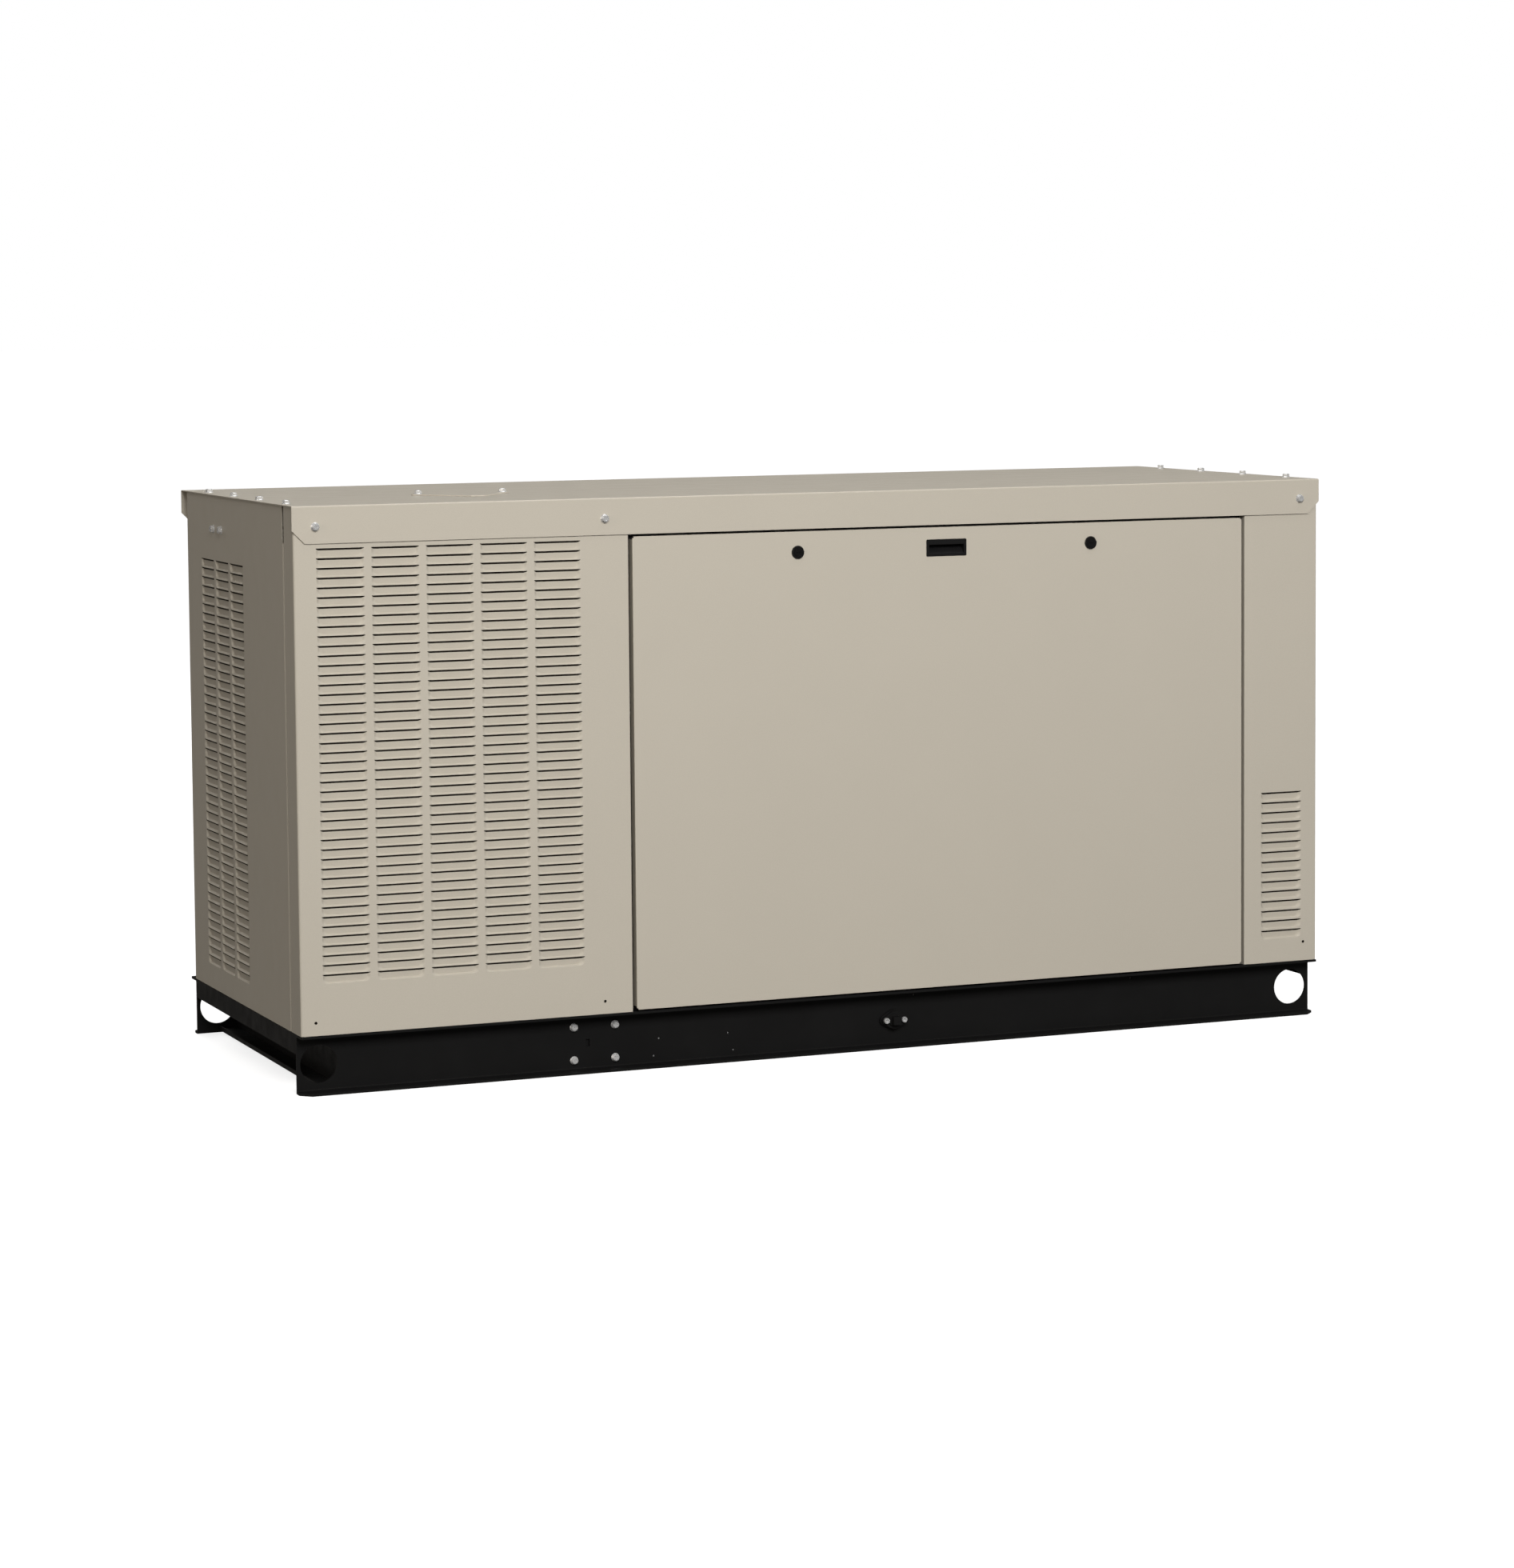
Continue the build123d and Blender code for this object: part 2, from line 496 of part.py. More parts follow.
# ===========================================================================
# Door and its hardware
# ===========================================================================
with BuildPart() as front_door:
    with BuildSketch(Plane.XZ.offset(-FRONT_Y - SHEET)):
        with BuildLine():
            Polyline((DOOR_X0, DOOR_Z0), (DOOR_X1, DOOR_Z0), (DOOR_X1, DOOR_Z1), (DOOR_X0, DOOR_Z1), close=True)
        make_face()
    extrude(amount=SHEET)
    # turned-in edge flanges, notched clear at the corners
    n = 6.0
    block(DOOR_X0 + n, DOOR_X1 - n, FRONT_Y + SHEET, FRONT_Y + DOOR_FLANGE, DOOR_Z0, DOOR_Z0 + SHEET)
    block(DOOR_X0 + n, DOOR_X1 - n, FRONT_Y + SHEET, FRONT_Y + DOOR_FLANGE, DOOR_Z1 - SHEET, DOOR_Z1)
    block(DOOR_X0, DOOR_X0 + SHEET, FRONT_Y + SHEET, FRONT_Y + DOOR_FLANGE, DOOR_Z0 + n, DOOR_Z1 - n)
    block(DOOR_X1 - SHEET, DOOR_X1, FRONT_Y + SHEET, FRONT_Y + DOOR_FLANGE, DOOR_Z0 + n, DOOR_Z1 - n)
    for x in (DOOR_X0, DOOR_X1):
        for z in (DOOR_Z0, DOOR_Z1):
            block(x - 3, x + 3, FRONT_Y - 1, FRONT_Y + 3, z - 3, z + 3, mode=Mode.SUBTRACT)
    for x in LOCK_X:
        rod((x, FRONT_Y - 5, LOCK_Z), 11.3, 12, TOY, mode=Mode.SUBTRACT)
    block(PULL_X - 42, PULL_X + 42, FRONT_Y - 5, FRONT_Y + 5, PULL_Z - 14.5, PULL_Z + 14.5, mode=Mode.SUBTRACT)
write(front_door.part, "front_door")

# foam slab bonded inside the door
with BuildPart() as door_liner:
    block(DOOR_X0 + 16, DOOR_X1 - 16, FRONT_Y + SHEET, -396, DOOR_Z0 + 22, DOOR_Z1 - 16)
    for x in LOCK_X:
        block(x - 30, x + 30, FRONT_Y, -390, LOCK_Z - 26, DOOR_Z1, mode=Mode.SUBTRACT)
    block(PULL_X - 56, PULL_X + 56, FRONT_Y, -390, PULL_Z - 32, DOOR_Z1, mode=Mode.SUBTRACT)
write(door_liner.part, "door_liner")

# rubber seal around the door's inner edge
with BuildPart() as door_seal:
    with BuildSketch(Plane.XZ.offset(-FRONT_Y - DOOR_FLANGE)):
        with Locations(((DOOR_X0 + DOOR_X1) / 2, (DOOR_Z0 + DOOR_Z1) / 2)):
            Rectangle(DOOR_X1 - DOOR_X0 - 2, DOOR_Z1 - DOOR_Z0 - 2)
            Rectangle(DOOR_X1 - DOOR_X0 - 26, DOOR_Z1 - DOOR_Z0 - 26, mode=Mode.SUBTRACT)
    extrude(amount=-3.2)
write(door_seal.part, "door_seal")

# flush pull: bevelled frame round a finger pocket
with BuildPart() as door_pull:
    with BuildSketch(Plane.XZ.offset(-FRONT_Y)):
        with Locations((PULL_X, PULL_Z)):
            RectangleRounded(PULL_W, PULL_H, 3)
    extrude(amount=1.8, taper=30)
    block(PULL_X - 41.7, PULL_X + 41.7, FRONT_Y, FRONT_Y + 17.5, PULL_Z - 14.2, PULL_Z + 14.2)
    # pocket with a sloping floor and a finger lip under the top edge
    with BuildSketch(Plane.YZ.offset(PULL_X - 39.5)):
        with BuildLine():
            Polyline((FRONT_Y - 3, PULL_Z - 12), (FRONT_Y - 3, PULL_Z + 6.5), (FRONT_Y + 3, PULL_Z + 6.5),
                     (FRONT_Y + 3, PULL_Z + 12), (FRONT_Y + 15.5, PULL_Z + 12), (FRONT_Y + 15.5, PULL_Z + 4),
                     (FRONT_Y, PULL_Z - 12), close=True)
        make_face()
    extrude(amount=79, mode=Mode.SUBTRACT)
write(door_pull.part, "door_pull")

# fixed barrels of the two key locks, with a back nut
with BuildPart() as lock_housings:
    for x in LOCK_X:
        with BuildSketch(Plane.XZ.offset(-FRONT_Y)):
            with Locations((x, LOCK_Z)):
                Circle(14.2)
        extrude(amount=3.2, taper=24)
        rod((x, FRONT_Y, LOCK_Z), 11.0, 22, TOY)
        with Locations(Location((x, FRONT_Y + SHEET, LOCK_Z), TOY)):
            with BuildSketch(Plane.XY, mode=Mode.PRIVATE) as hx:
                RegularPolygon(28 / sqrt(3), 6)
            add(extrude(hx.sketch, 5.0, mode=Mode.PRIVATE))
        rod((x, FRONT_Y - 6, LOCK_Z), 8.5, 36, TOY, mode=Mode.SUBTRACT)
write(lock_housings.part, "lock_housings")

# turning key plug and cam of each lock; the cam lies level when released
for name, x, s in (("latch_left", LOCK_X[0], 1), ("latch_right", LOCK_X[1], 1)):
    with BuildPart() as latch:
        rod((x, FRONT_Y - 3.6, LOCK_Z), 8.42, 25.6, TOY)
        rod((x, FRONT_Y + 22, LOCK_Z), 6, 10, TOY)
        block(x - 9, x + 56 * s, FRONT_Y + 27, FRONT_Y + 31, LOCK_Z - 9, LOCK_Z + 9)
        fillet(latch.edges().filter_by(Axis.Y).filter_by(
            lambda e: abs(abs(e.center().Z - LOCK_Z) - 9) < 0.1), radius=7)
        block(x - 4.5, x + 4.5, FRONT_Y - 4, FRONT_Y - 1.6, LOCK_Z - 0.9, LOCK_Z + 0.9, mode=Mode.SUBTRACT)
    write(latch.part, name)

# ===========================================================================
# Cooling
# ===========================================================================
with BuildPart() as radiator_core:
    block(RAD_X0, RAD_X1, -262, 262, 312, 988)
    for x, d in ((RAD_X0, 1), (RAD_X1, -1)):
        with BuildSketch(Plane.YZ.offset(x)):
            with Locations((0, 650)):
                with GridLocations(26, 10, 19, 1):
                    Rectangle(16, 650)
        extrude(amount=4 * d, mode=Mode.SUBTRACT)
write(radiator_core.part, "radiator_core")

with BuildPart() as radiator_tanks:
    block(-718, BULK_X, -274, 274, 988, 1050)
    block(-718, BULK_X, -274, 274, 250, 312)
    fillet(radiator_tanks.edges().filter_by(Axis.Y).filter_by(
        lambda e: abs(e.center().X + 718) < 0.1), radius=12)
    block(-714, BULK_X, 262, 270, 312, 988)
    block(-714, BULK_X, -270, -262, 312, 988)
    rod((CAP_X, CAP_Y, 1050), 23, 30)
    rod((CAP_X, CAP_Y, 1050), 28, 4)
    rod((CAP_X, CAP_Y + 20, 1064), 4, 24, TOY)
    rod((BULK_X, 200, 1020), 18, 42, TOX)
    rod((BULK_X, -200, 280), 14, 42, TOX)
    rod((CAP_X, CAP_Y, 1040), 17, 50, mode=Mode.SUBTRACT)
write(radiator_tanks.part, "radiator_tanks")

with BuildPart() as radiator_cap:
    rod((CAP_X, CAP_Y, 1080.4), 31, 12)
    fillet(radiator_cap.edges().group_by(Axis.Z)[-1], radius=4)
    rod((CAP_X, CAP_Y, 1092.4), 12, 6)
    for s in (-1, 1):
        block(CAP_X - 7, CAP_X + 7, CAP_Y + s * 27, CAP_Y + s * 34, 1080.4, 1088)
    rod((CAP_X, CAP_Y, 1055), 15.5, 25.4)
write(radiator_cap.part, "radiator_cap")

with BuildPart() as radiator_hoses:
    with BuildLine() as up:
        FilletPolyline((-609.5, 200, 1020), (-525, 200, 1020), (-525, 60, 730), (-485.5, 60, 730),
                       radius=[45, 35])
    with BuildSketch(Plane(origin=up.line @ 0, z_dir=up.line % 0)):
        Circle(18)
    sweep()
    with BuildLine() as low:
        FilletPolyline((-609.5, -200, 280), (-505, -200, 280), (-505, -160, 600), (-505, -60.5, 600),
                       radius=[45, 45])
    with BuildSketch(Plane(origin=low.line @ 0, z_dir=low.line % 0)):
        Circle(14)
    sweep()
write(radiator_hoses.part, "radiator_hoses")

with BuildPart() as fan_shroud:
    with BuildSketch(Plane.YZ.offset(BULK_X + SHEET)):
        with Locations((0, 650)):
            Rectangle(560, 688)
        with Locations((0, FAN_Z)):
            Circle(246, mode=Mode.SUBTRACT)
    extrude(amount=2.5)
    with BuildSketch(Plane.YZ.offset(BULK_X + SHEET)):
        with Locations((0, FAN_Z)):
            Circle(250)
            Circle(246, mode=Mode.SUBTRACT)
    extrude(amount=78)
write(fan_shroud.part, "fan_shroud")

# fan, spacer and belt pulley, turning as one on the water pump shaft
with BuildPart() as cooling_fan:
    rod((-628, 0, FAN_Z), 62, 30, TOX)
    rod((-598, 0, FAN_Z), 24, 53, TOX)
    rod((-545, 0, FAN_Z), FANP_R + 7, 3.5, TOX)
    rod((-541.5, 0, FAN_Z), FANP_R, 18, TOX)
    rod((-523.5, 0, FAN_Z), FANP_R + 7, 3.5, TOX)
    rod((-520, 0, FAN_Z), 12, 24, TOX)
    for k in range(7):
        a = 360.0 / 7 * k
        with Locations(Location((-613, 0, FAN_Z), (a, 0, 0)) * Location((0, 0, 56)) * Location((0, 0, 0), (0, 0, 32))):
            Box(4, 78, 182, align=(Align.CENTER, Align.CENTER, Align.MIN))
    with BuildSketch(Plane.YZ.offset(-660)):
        with Locations((0, FAN_Z)):
            Circle(300)
            Circle(238, mode=Mode.SUBTRACT)
    extrude(amount=90, mode=Mode.SUBTRACT)
write(cooling_fan.part, "cooling_fan")

with BuildPart() as water_pump:
    rod((-519, 0, FAN_Z), 34, 12, TOX)
    rod((-508, 0, FAN_Z), 58, 18, TOX)
    rod((-505, -40, FAN_Z), 13, 20, TONY)
    rod((-530, 0, FAN_Z), 12.06, 45, TOX, mode=Mode.SUBTRACT)
write(water_pump.part, "water_pump")

# ===========================================================================
# Engine
# ===========================================================================
CYL_X = (-415, -290, -165, -40)
with BuildPart() as engine_block:
    with BuildSketch(Plane.YZ.offset(-490)):
        with BuildLine():
            Polyline((-112, 330), (-120, 350), (-120, 470), (-100, 510), (-100, 660),
                     (100, 660), (100, 510), (120, 470), (120, 350), (112, 330), close=True)
        make_face()
    extrude(amount=520)
    # core plugs and ribs on both sides
    for x in CYL_X:
        for s, rot in ((-1, TONY), (1, TOY)):
            rod((x, s * 100, 600), 20, 3, rot)
    for x in (-352, -228, -102):
        block(x - 4, x + 4, -116, -100, 505, 650)
        block(x - 4, x + 4, 100, 116, 505, 650)
    block(-480, 20, -114, -100, 646, 660)
    block(-480, 20, 100, 114, 646, 660)
    # filter boss
    rod((-300, -119, 420), 30, 8, TONY)
    # dipstick guide tube with its bracket
    rod((12, -135, 335), 5.5, 365)
    block(4, 20, -132, -99, 560, 566)
    block(4, 20, -140, -118, 345, 352)
    # crank bore
    rod((-495, 0, CRANK_Z), 30.06, 530, TOX, mode=Mode.SUBTRACT)
    rod((12, -135, 330), 3.2, 375, mode=Mode.SUBTRACT)
write(engine_block.part, "engine_block")

with BuildPart() as cylinder_head:
    block(-485, 25, -104, 104, 660, 768)
    for x in CYL_X:
        block(x - 34, x + 34, 104, 110, 690, 745)
        block(x - 30, x + 30, -110, -104, 705, 750)
        rod((x, -104, 680), 9, 5, TONY)
    for x in (-352, -228, -102):
        block(x - 8, x + 8, -106.5, -103, 668, 760)
        block(x - 8, x + 8, 103, 106.5, 668, 760)
write(cylinder_head.part, "cylinder_head")

with BuildPart() as valve_cover:
    block(-470, 10, -84, 84, 768, 832)
    fillet(valve_cover.edges().filter_by(Axis.Z), radius=18)
    fillet(valve_cover.edges().group_by(Axis.Z)[-1], radius=14)
    block(-478, 18, -92, 92, 768, 776)
    for x in (-330, -270, -210, -150, -90, -30):
        block(x - 3, x + 3, -62, 62, 830, 836)
    rod((-400, 0, 830), 24, 13)
    rod((-400, 0, 815), 18.5, 30, mode=Mode.SUBTRACT)
write(valve_cover.part, "valve_cover")

with BuildPart() as oil_filler_cap:
    rod((-400, 0, 843.5), 28, 16)
    fillet(oil_filler_cap.edges().group_by(Axis.Z)[-1], radius=3)
    block(-422, -378, -5, 5, 859, 868)
    rod((-400, 0, 820), 17.8, 23.5)
write(oil_filler_cap.part, "oil_filler_cap")

with BuildPart() as oil_pan:
    block(-484, 24, -110, 110, 322, 330)
    block(-474, 14, -98, 98, 222, 322)
    fillet(oil_pan.edges().group_by(Axis.Z)[0], radius=14)
    rod((-10, -97, 250), 17, 8.5, TONY)
write(oil_pan.part, "oil_pan")

with BuildPart() as dipstick:
    rod((12, -135, 300 + 36), 2.4, 368)
    rod((12, -135, 700.4), 7, 14)
    with Locations(Location((12, -135, 727), (90, 0, 0))):
        Torus(11, 3)
write(dipstick.part, "dipstick")

with BuildPart() as oil_filter:
    rod((-300, -127, 420), 38, 92, TONY)
    fillet(oil_filter.edges().group_by(Axis.Y)[0], radius=8)
write(oil_filter.part, "oil_filter")

with BuildPart() as intake_manifold:
    block(-450, -5, -214, -158, 700, 758)
    fillet(intake_manifold.edges().filter_by(Axis.X), radius=12)
    for x in CYL_X:
        block(x - 24, x + 24, -160, -110, 708, 746)
        block(x - 30, x + 30, -116, -110, 705, 750)
    rod((-230, -188, 755), 34, 75)
    rod((-230, -188, 824), 42, 6)
write(intake_manifold.part, "intake_manifold")

with BuildPart() as exhaust_manifold:
    with Locations((-228, 178, 717)):
        Cylinder(26, 430, rotation=TOX)
    for x in CYL_X:
        block(x - 32, x + 32, 110, 118, 690, 745)
        rod((x, 114, 717), 20, 55, TOY)
    rod((-228, 190, 717), 30, 30, TOY)
    rod((-228, 212, 717), 42, 8, TOY)
write(exhaust_manifold.part, "exhaust_manifold")

with BuildPart() as air_cleaner:
    with Locations((-220, -188, 918)):
        Cylinder(84, 250, rotation=TOX)
    fillet(air_cleaner.edges().filter_by(GeomType.CIRCLE), radius=9)
    for x in (-318, -122):
        with Locations((x, -188, 918)):
            Cylinder(87, 10, rotation=TOX)
    rod((-230, -188, 830), 38, 40)
    rod((-96, -188, 918), 40, 20, TOX)
write(air_cleaner.part, "air_cleaner")

with BuildPart() as starter_motor:
    rod((-158, 172, 400), 40, 128, TOX)
    fillet(starter_motor.edges().group_by(Axis.X)[0], radius=6)
    rod((-30, 172, 400), 32, 60, TOX)
    block(18, 30, 128, 216, 360, 440)
    rod((-120, 160, 455), 21, 95, TOX)
write(starter_motor.part, "starter_motor")

with BuildPart() as crankshaft:
    rod((-548, 0, CRANK_Z), 26, 4, TOX)
    rod((-545, 0, CRANK_Z), CRANK_R + 7, 3.5, TOX)
    rod((-541.5, 0, CRANK_Z), CRANK_R, 18, TOX)
    rod((-523.5, 0, CRANK_Z), CRANK_R + 7, 3.5, TOX)
    rod((-520, 0, CRANK_Z), 30, 566, TOX)
    rod((46, 0, CRANK_Z), 152, 28, TOX)
    with Locations(Location((-545, 0, CRANK_Z), (0, 0, 0))):
        with BuildSketch(Plane.YZ, mode=Mode.PRIVATE) as ring:
            with PolarLocations(58, 6):
                Circle(14)
        add(extrude(ring.sketch, 30, mode=Mode.PRIVATE), mode=Mode.SUBTRACT)
write(crankshaft.part, "crankshaft")

with BuildPart() as flywheel_housing:
    with BuildSketch(Plane.YZ.offset(30)):
        with Locations((0, CRANK_Z)):
            Circle(GEN_R + 4)
        with Locations((172, 400)):
            Circle(46)
        with Locations((0, CRANK_Z)):
            Circle(34, mode=Mode.SUBTRACT)
    extrude(amount=8)
    with BuildSketch(Plane.YZ.offset(38)):
        with Locations((0, CRANK_Z)):
            Circle(GEN_R + 4)
            Circle(164, mode=Mode.SUBTRACT)
    extrude(amount=72)
write(flywheel_housing.part, "flywheel_housing")

# closed belt loop round crank and fan pulleys, 0.3 mm clear of both
with BuildPart() as drive_belt:
    d = FAN_Z - CRANK_Z
    with BuildSketch(Plane.YZ.offset(BELT_X0)):
        for off, md in ((6.0, Mode.ADD), (0.3, Mode.SUBTRACT)):
            r1, r2 = CRANK_R + off, FANP_R + off
            k = (r1 - r2) / d
            c = sqrt(1 - k * k)
            with Locations((0, CRANK_Z)):
                Circle(r1, mode=md)
            with Locations((0, FAN_Z)):
                Circle(r2, mode=md)
            with BuildLine():
                Polyline((r1 * c, CRANK_Z + r1 * k), (r2 * c, FAN_Z + r2 * k),
                         (-r2 * c, FAN_Z + r2 * k), (-r1 * c, CRANK_Z + r1 * k), close=True)
            make_face(mode=md)
    extrude(amount=BELT_X1 - BELT_X0)
write(drive_belt.part, "drive_belt")

# engine and alternator feet on four rubber isolators
with BuildPart() as engine_feet:
    for s in (-1, 1):
        block(-485, -440, s * 120, s * 130, 171, 440)
        block(-540, -440, s * 130, s * 215, 171, 181)
        block(-468, -460, s * 130, s * 205, 181, 250)
        block(285, 375, s * 96, s * 215, 171, 181)
        block(285, 375, s * 100, s * 116, 181, 300)
        block(326, 334, s * 116, s * 205, 181, 230)
        rod((-513.5, s * 178, 181), 9, 12)
        rod((330 + 30, s * 178, 181), 9, 12)
    rod((280, 0, CRANK_Z), GEN_R, 100, TOX, mode=Mode.SUBTRACT)
write(engine_feet.part, "engine_feet")

with BuildPart() as vibration_mounts:
    for x in (-513.5, 330):
        for s in (-1, 1):
            with BuildSketch(Plane.XZ, mode=Mode.PRIVATE) as prof:
                with BuildLine():
                    Polyline((0, RAIL_H + SHEET), (36, RAIL_H + SHEET), (36, 127), (27, 133), (25, 150), (29, 165),
                             (29, 171), (0, 171), close=True)
                make_face()
            iso = revolve(prof.sketch, Axis.Z, mode=Mode.PRIVATE)
            with Locations((x, s * 178, 0)):
                add(iso)
write(vibration_mounts.part, "vibration_mounts")

# ===========================================================================
# Alternator
# ===========================================================================
with BuildPart() as generator_stator:
    with BuildSketch(Plane.YZ.offset(110)):
        with Locations((0, CRANK_Z)):
            Circle(GEN_R)
            Circle(131, mode=Mode.SUBTRACT)
    extrude(amount=390)
    # terminal box on top
    block(230, 400, -95, 95, 570, 650)
    rod((110, 0, CRANK_Z), 131, 390, TOX, mode=Mode.SUBTRACT)
write(generator_stator.part, "generator_stator")

with BuildPart() as generator_rotor:
    rod((74, 0, CRANK_Z), 28, 484, TOX)
    rod((80, 0, CRANK_Z), 120, 4, TOX)
    with BuildSketch(Plane.YZ.offset(160)):
        with Locations((0, CRANK_Z)):
            Circle(128)
            with PolarLocations(122, 4, start_angle=45):
                Rectangle(60, 46, mode=Mode.SUBTRACT)
    extrude(amount=280)
    rod((455, 0, CRANK_Z), 70, 22, TOX)
write(generator_rotor.part, "generator_rotor")

with BuildPart() as generator_end_bell:
    with BuildSketch(Plane.YZ.offset(500)):
        with Locations((0, CRANK_Z)):
            Circle(GEN_R)
            Circle(150, mode=Mode.SUBTRACT)
    extrude(amount=44)
    with BuildSketch(Plane.YZ.offset(544)):
        with Locations((0, CRANK_Z)):
            Circle(GEN_R)
            with PolarLocations(108, 8):
                Circle(26, mode=Mode.SUBTRACT)
    extrude(amount=14)
    rod((516, 0, CRANK_Z), 62, 30, TOX)
    rod((500, 0, CRANK_Z), 28.06, 70, TOX, mode=Mode.SUBTRACT)
    fillet(generator_end_bell.edges().group_by(Axis.X)[-1].sort_by(SortBy.RADIUS)[-1], radius=8)
write(generator_end_bell.part, "generator_end_bell")

# ===========================================================================
# Exhaust
# ===========================================================================
with BuildPart() as silencer:
    with Locations((-920, -10, 717)):
        Cylinder(108, 580, rotation=TOY)
    fillet(silencer.edges().filter_by(GeomType.CIRCLE), radius=14)
    rod((-1020, 110, 717), 28, 78, TONX)
    with BuildLine() as ex:
        FilletPolyline((-228, 220.5, 717), (-228, 330, 717), (-920, 330, 717), (-920, 279, 717), radius=[48, 48])
    with BuildSketch(Plane(origin=ex.line @ 0, z_dir=ex.line % 0)):
        Circle(25)
    sweep()
    # hanger bracket to the bulkhead, outside the radiator
    block(-840, BULK_X, -292, -286, 690, 744)
    block(BULK_X - 4, BULK_X, -330, -292, 690, 744)
    rod((-1110, 110, 717), 24, 70, TOX, mode=Mode.SUBTRACT)
write(silencer.part, "silencer")

# ===========================================================================
# Fuel
# ===========================================================================
with BuildPart() as gas_line:
    # threaded inlet coupling on the rear rail
    with Locations(Location((-60, RAIL_WEB, 58), TOY)):
        with BuildSketch(Plane.XY, mode=Mode.PRIVATE) as hx:
            RegularPolygon(40 / sqrt(3), 6)
        add(extrude(hx.sketch, 34, mode=Mode.PRIVATE))
    with BuildLine() as riser:
        FilletPolyline((-60, RAIL_WEB + 4, 58), (-60, 300, 58), (-60, 300, 500), radius=[40])
    with BuildSketch(Plane(origin=riser.line @ 0, z_dir=riser.line % 0)):
        Circle(12.5)
    sweep()
    rod((-60, RAIL_WEB + 35, 58), 12.1, 26, TONY, mode=Mode.SUBTRACT)
    # demand regulator
    rod((-60, 268, 556), 62, 44, TOY)
    rod((-60, 258, 556), 50, 66, TOY)
    block(-80, -40, 280, 320, 486, 640)
    # hose to the mixer
    with BuildLine() as feed:
        FilletPolyline((-60, 300, 630), (-60, 300, 905), (-60, -188, 905), (-60, -188, 794), (-194, -188, 794),
                       radius=[60, 50, 50])
    with BuildSketch(Plane(origin=feed.line @ 0, z_dir=feed.line % 0)):
        Circle(12)
    sweep()
write(gas_line.part, "gas_line")

# ===========================================================================
# Electrical
# ===========================================================================
with BuildPart() as battery:
    block(758, 955, -360, -187, 131, 318)
    block(762, 951, -356, -191, 318, 330)
    fillet(battery.edges().filter_by(Axis.Z), radius=4)
    rod((788, -215, 330), 9, 14)
    rod((925, -215, 330), 9, 14)
    # steel tray and hold-down frame
    block(753, 959, -366, -181, 121, 131)
write(battery.part, "battery")

with BuildPart() as control_box:
    block(400, 760, -375, -225, 690, 1010)
    fillet(control_box.edges().filter_by(Axis.Y), radius=5)
    # display bezel
    block(430, 640, -378, -375, 860, 980)
    # rows of keys and lamps
    for x in (660, 700):
        rod((x, -375, 950), 7, 2, TONY)
        rod((x, -375, 915), 7, 2, TONY)
    # stand legs on the floor pan
    for x in (410, 720):
        block(x, x + 30, -371, -345, 121, 690)
        block(x, x + 30, -371, -230, 682, 690)
    rod((560, -372, 780), 9.3, 8, TONY)
    rod((560, -385, 780), 8.06, 45, TOY, mode=Mode.SUBTRACT)
write(control_box.part, "control_box")

# three-position mode switch, turning in the control box face
with BuildPart() as mode_switch:
    rod((560, -381, 780), 8.0, 30, TOY)
    rod((560, -380.3, 780), 15, 6, TONY)
    block(556.5, 563.5, -391, -386.3, 766, 794)
write(mode_switch.part, "mode_switch")

with BuildPart() as main_breaker:
    block(772, 872, -345, -235, 700, 940)
    block(790, 854, -352, -345, 760, 880)
    block(806, 838, -352, -322, 782, 858, mode=Mode.SUBTRACT)
    for z in (712, 915):
        for x in (785, 822, 859):
            rod((x, -345, z), 6, 3, TONY)
    block(760, 772, -330, -300, 700, 940)
write(main_breaker.part, "main_breaker")

# breaker handle, pivoted inside the breaker case
with BuildPart() as breaker_toggle:
    with Locations(Location((822, -330, 820), (0, 0, 0))):
        Cylinder(7, 29, rotation=(0, 90, 0))
    with Locations(Location((822, -330, 820), (-22, 0, 0))):
        Box(22, 40, 12, align=(Align.CENTER, Align.MAX, Align.CENTER))
write(breaker_toggle.part, "breaker_toggle")
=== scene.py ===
import math
from math import sin, cos, pi, radians, sqrt

import bmesh
import bpy
from mathutils import Matrix, Vector


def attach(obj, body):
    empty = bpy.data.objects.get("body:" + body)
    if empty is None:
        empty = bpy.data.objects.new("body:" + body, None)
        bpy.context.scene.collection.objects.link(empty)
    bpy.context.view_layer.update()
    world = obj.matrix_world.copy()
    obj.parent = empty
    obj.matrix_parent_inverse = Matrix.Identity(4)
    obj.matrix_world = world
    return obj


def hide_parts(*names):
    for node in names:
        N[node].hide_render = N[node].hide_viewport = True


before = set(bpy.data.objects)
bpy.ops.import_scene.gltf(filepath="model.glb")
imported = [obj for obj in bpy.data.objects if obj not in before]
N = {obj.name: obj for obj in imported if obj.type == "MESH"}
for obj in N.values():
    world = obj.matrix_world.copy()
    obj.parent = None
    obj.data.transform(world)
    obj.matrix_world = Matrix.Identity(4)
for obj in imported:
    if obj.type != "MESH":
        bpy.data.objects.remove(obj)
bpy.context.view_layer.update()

SC = bpy.context.scene
COL = SC.collection
MM = 0.001

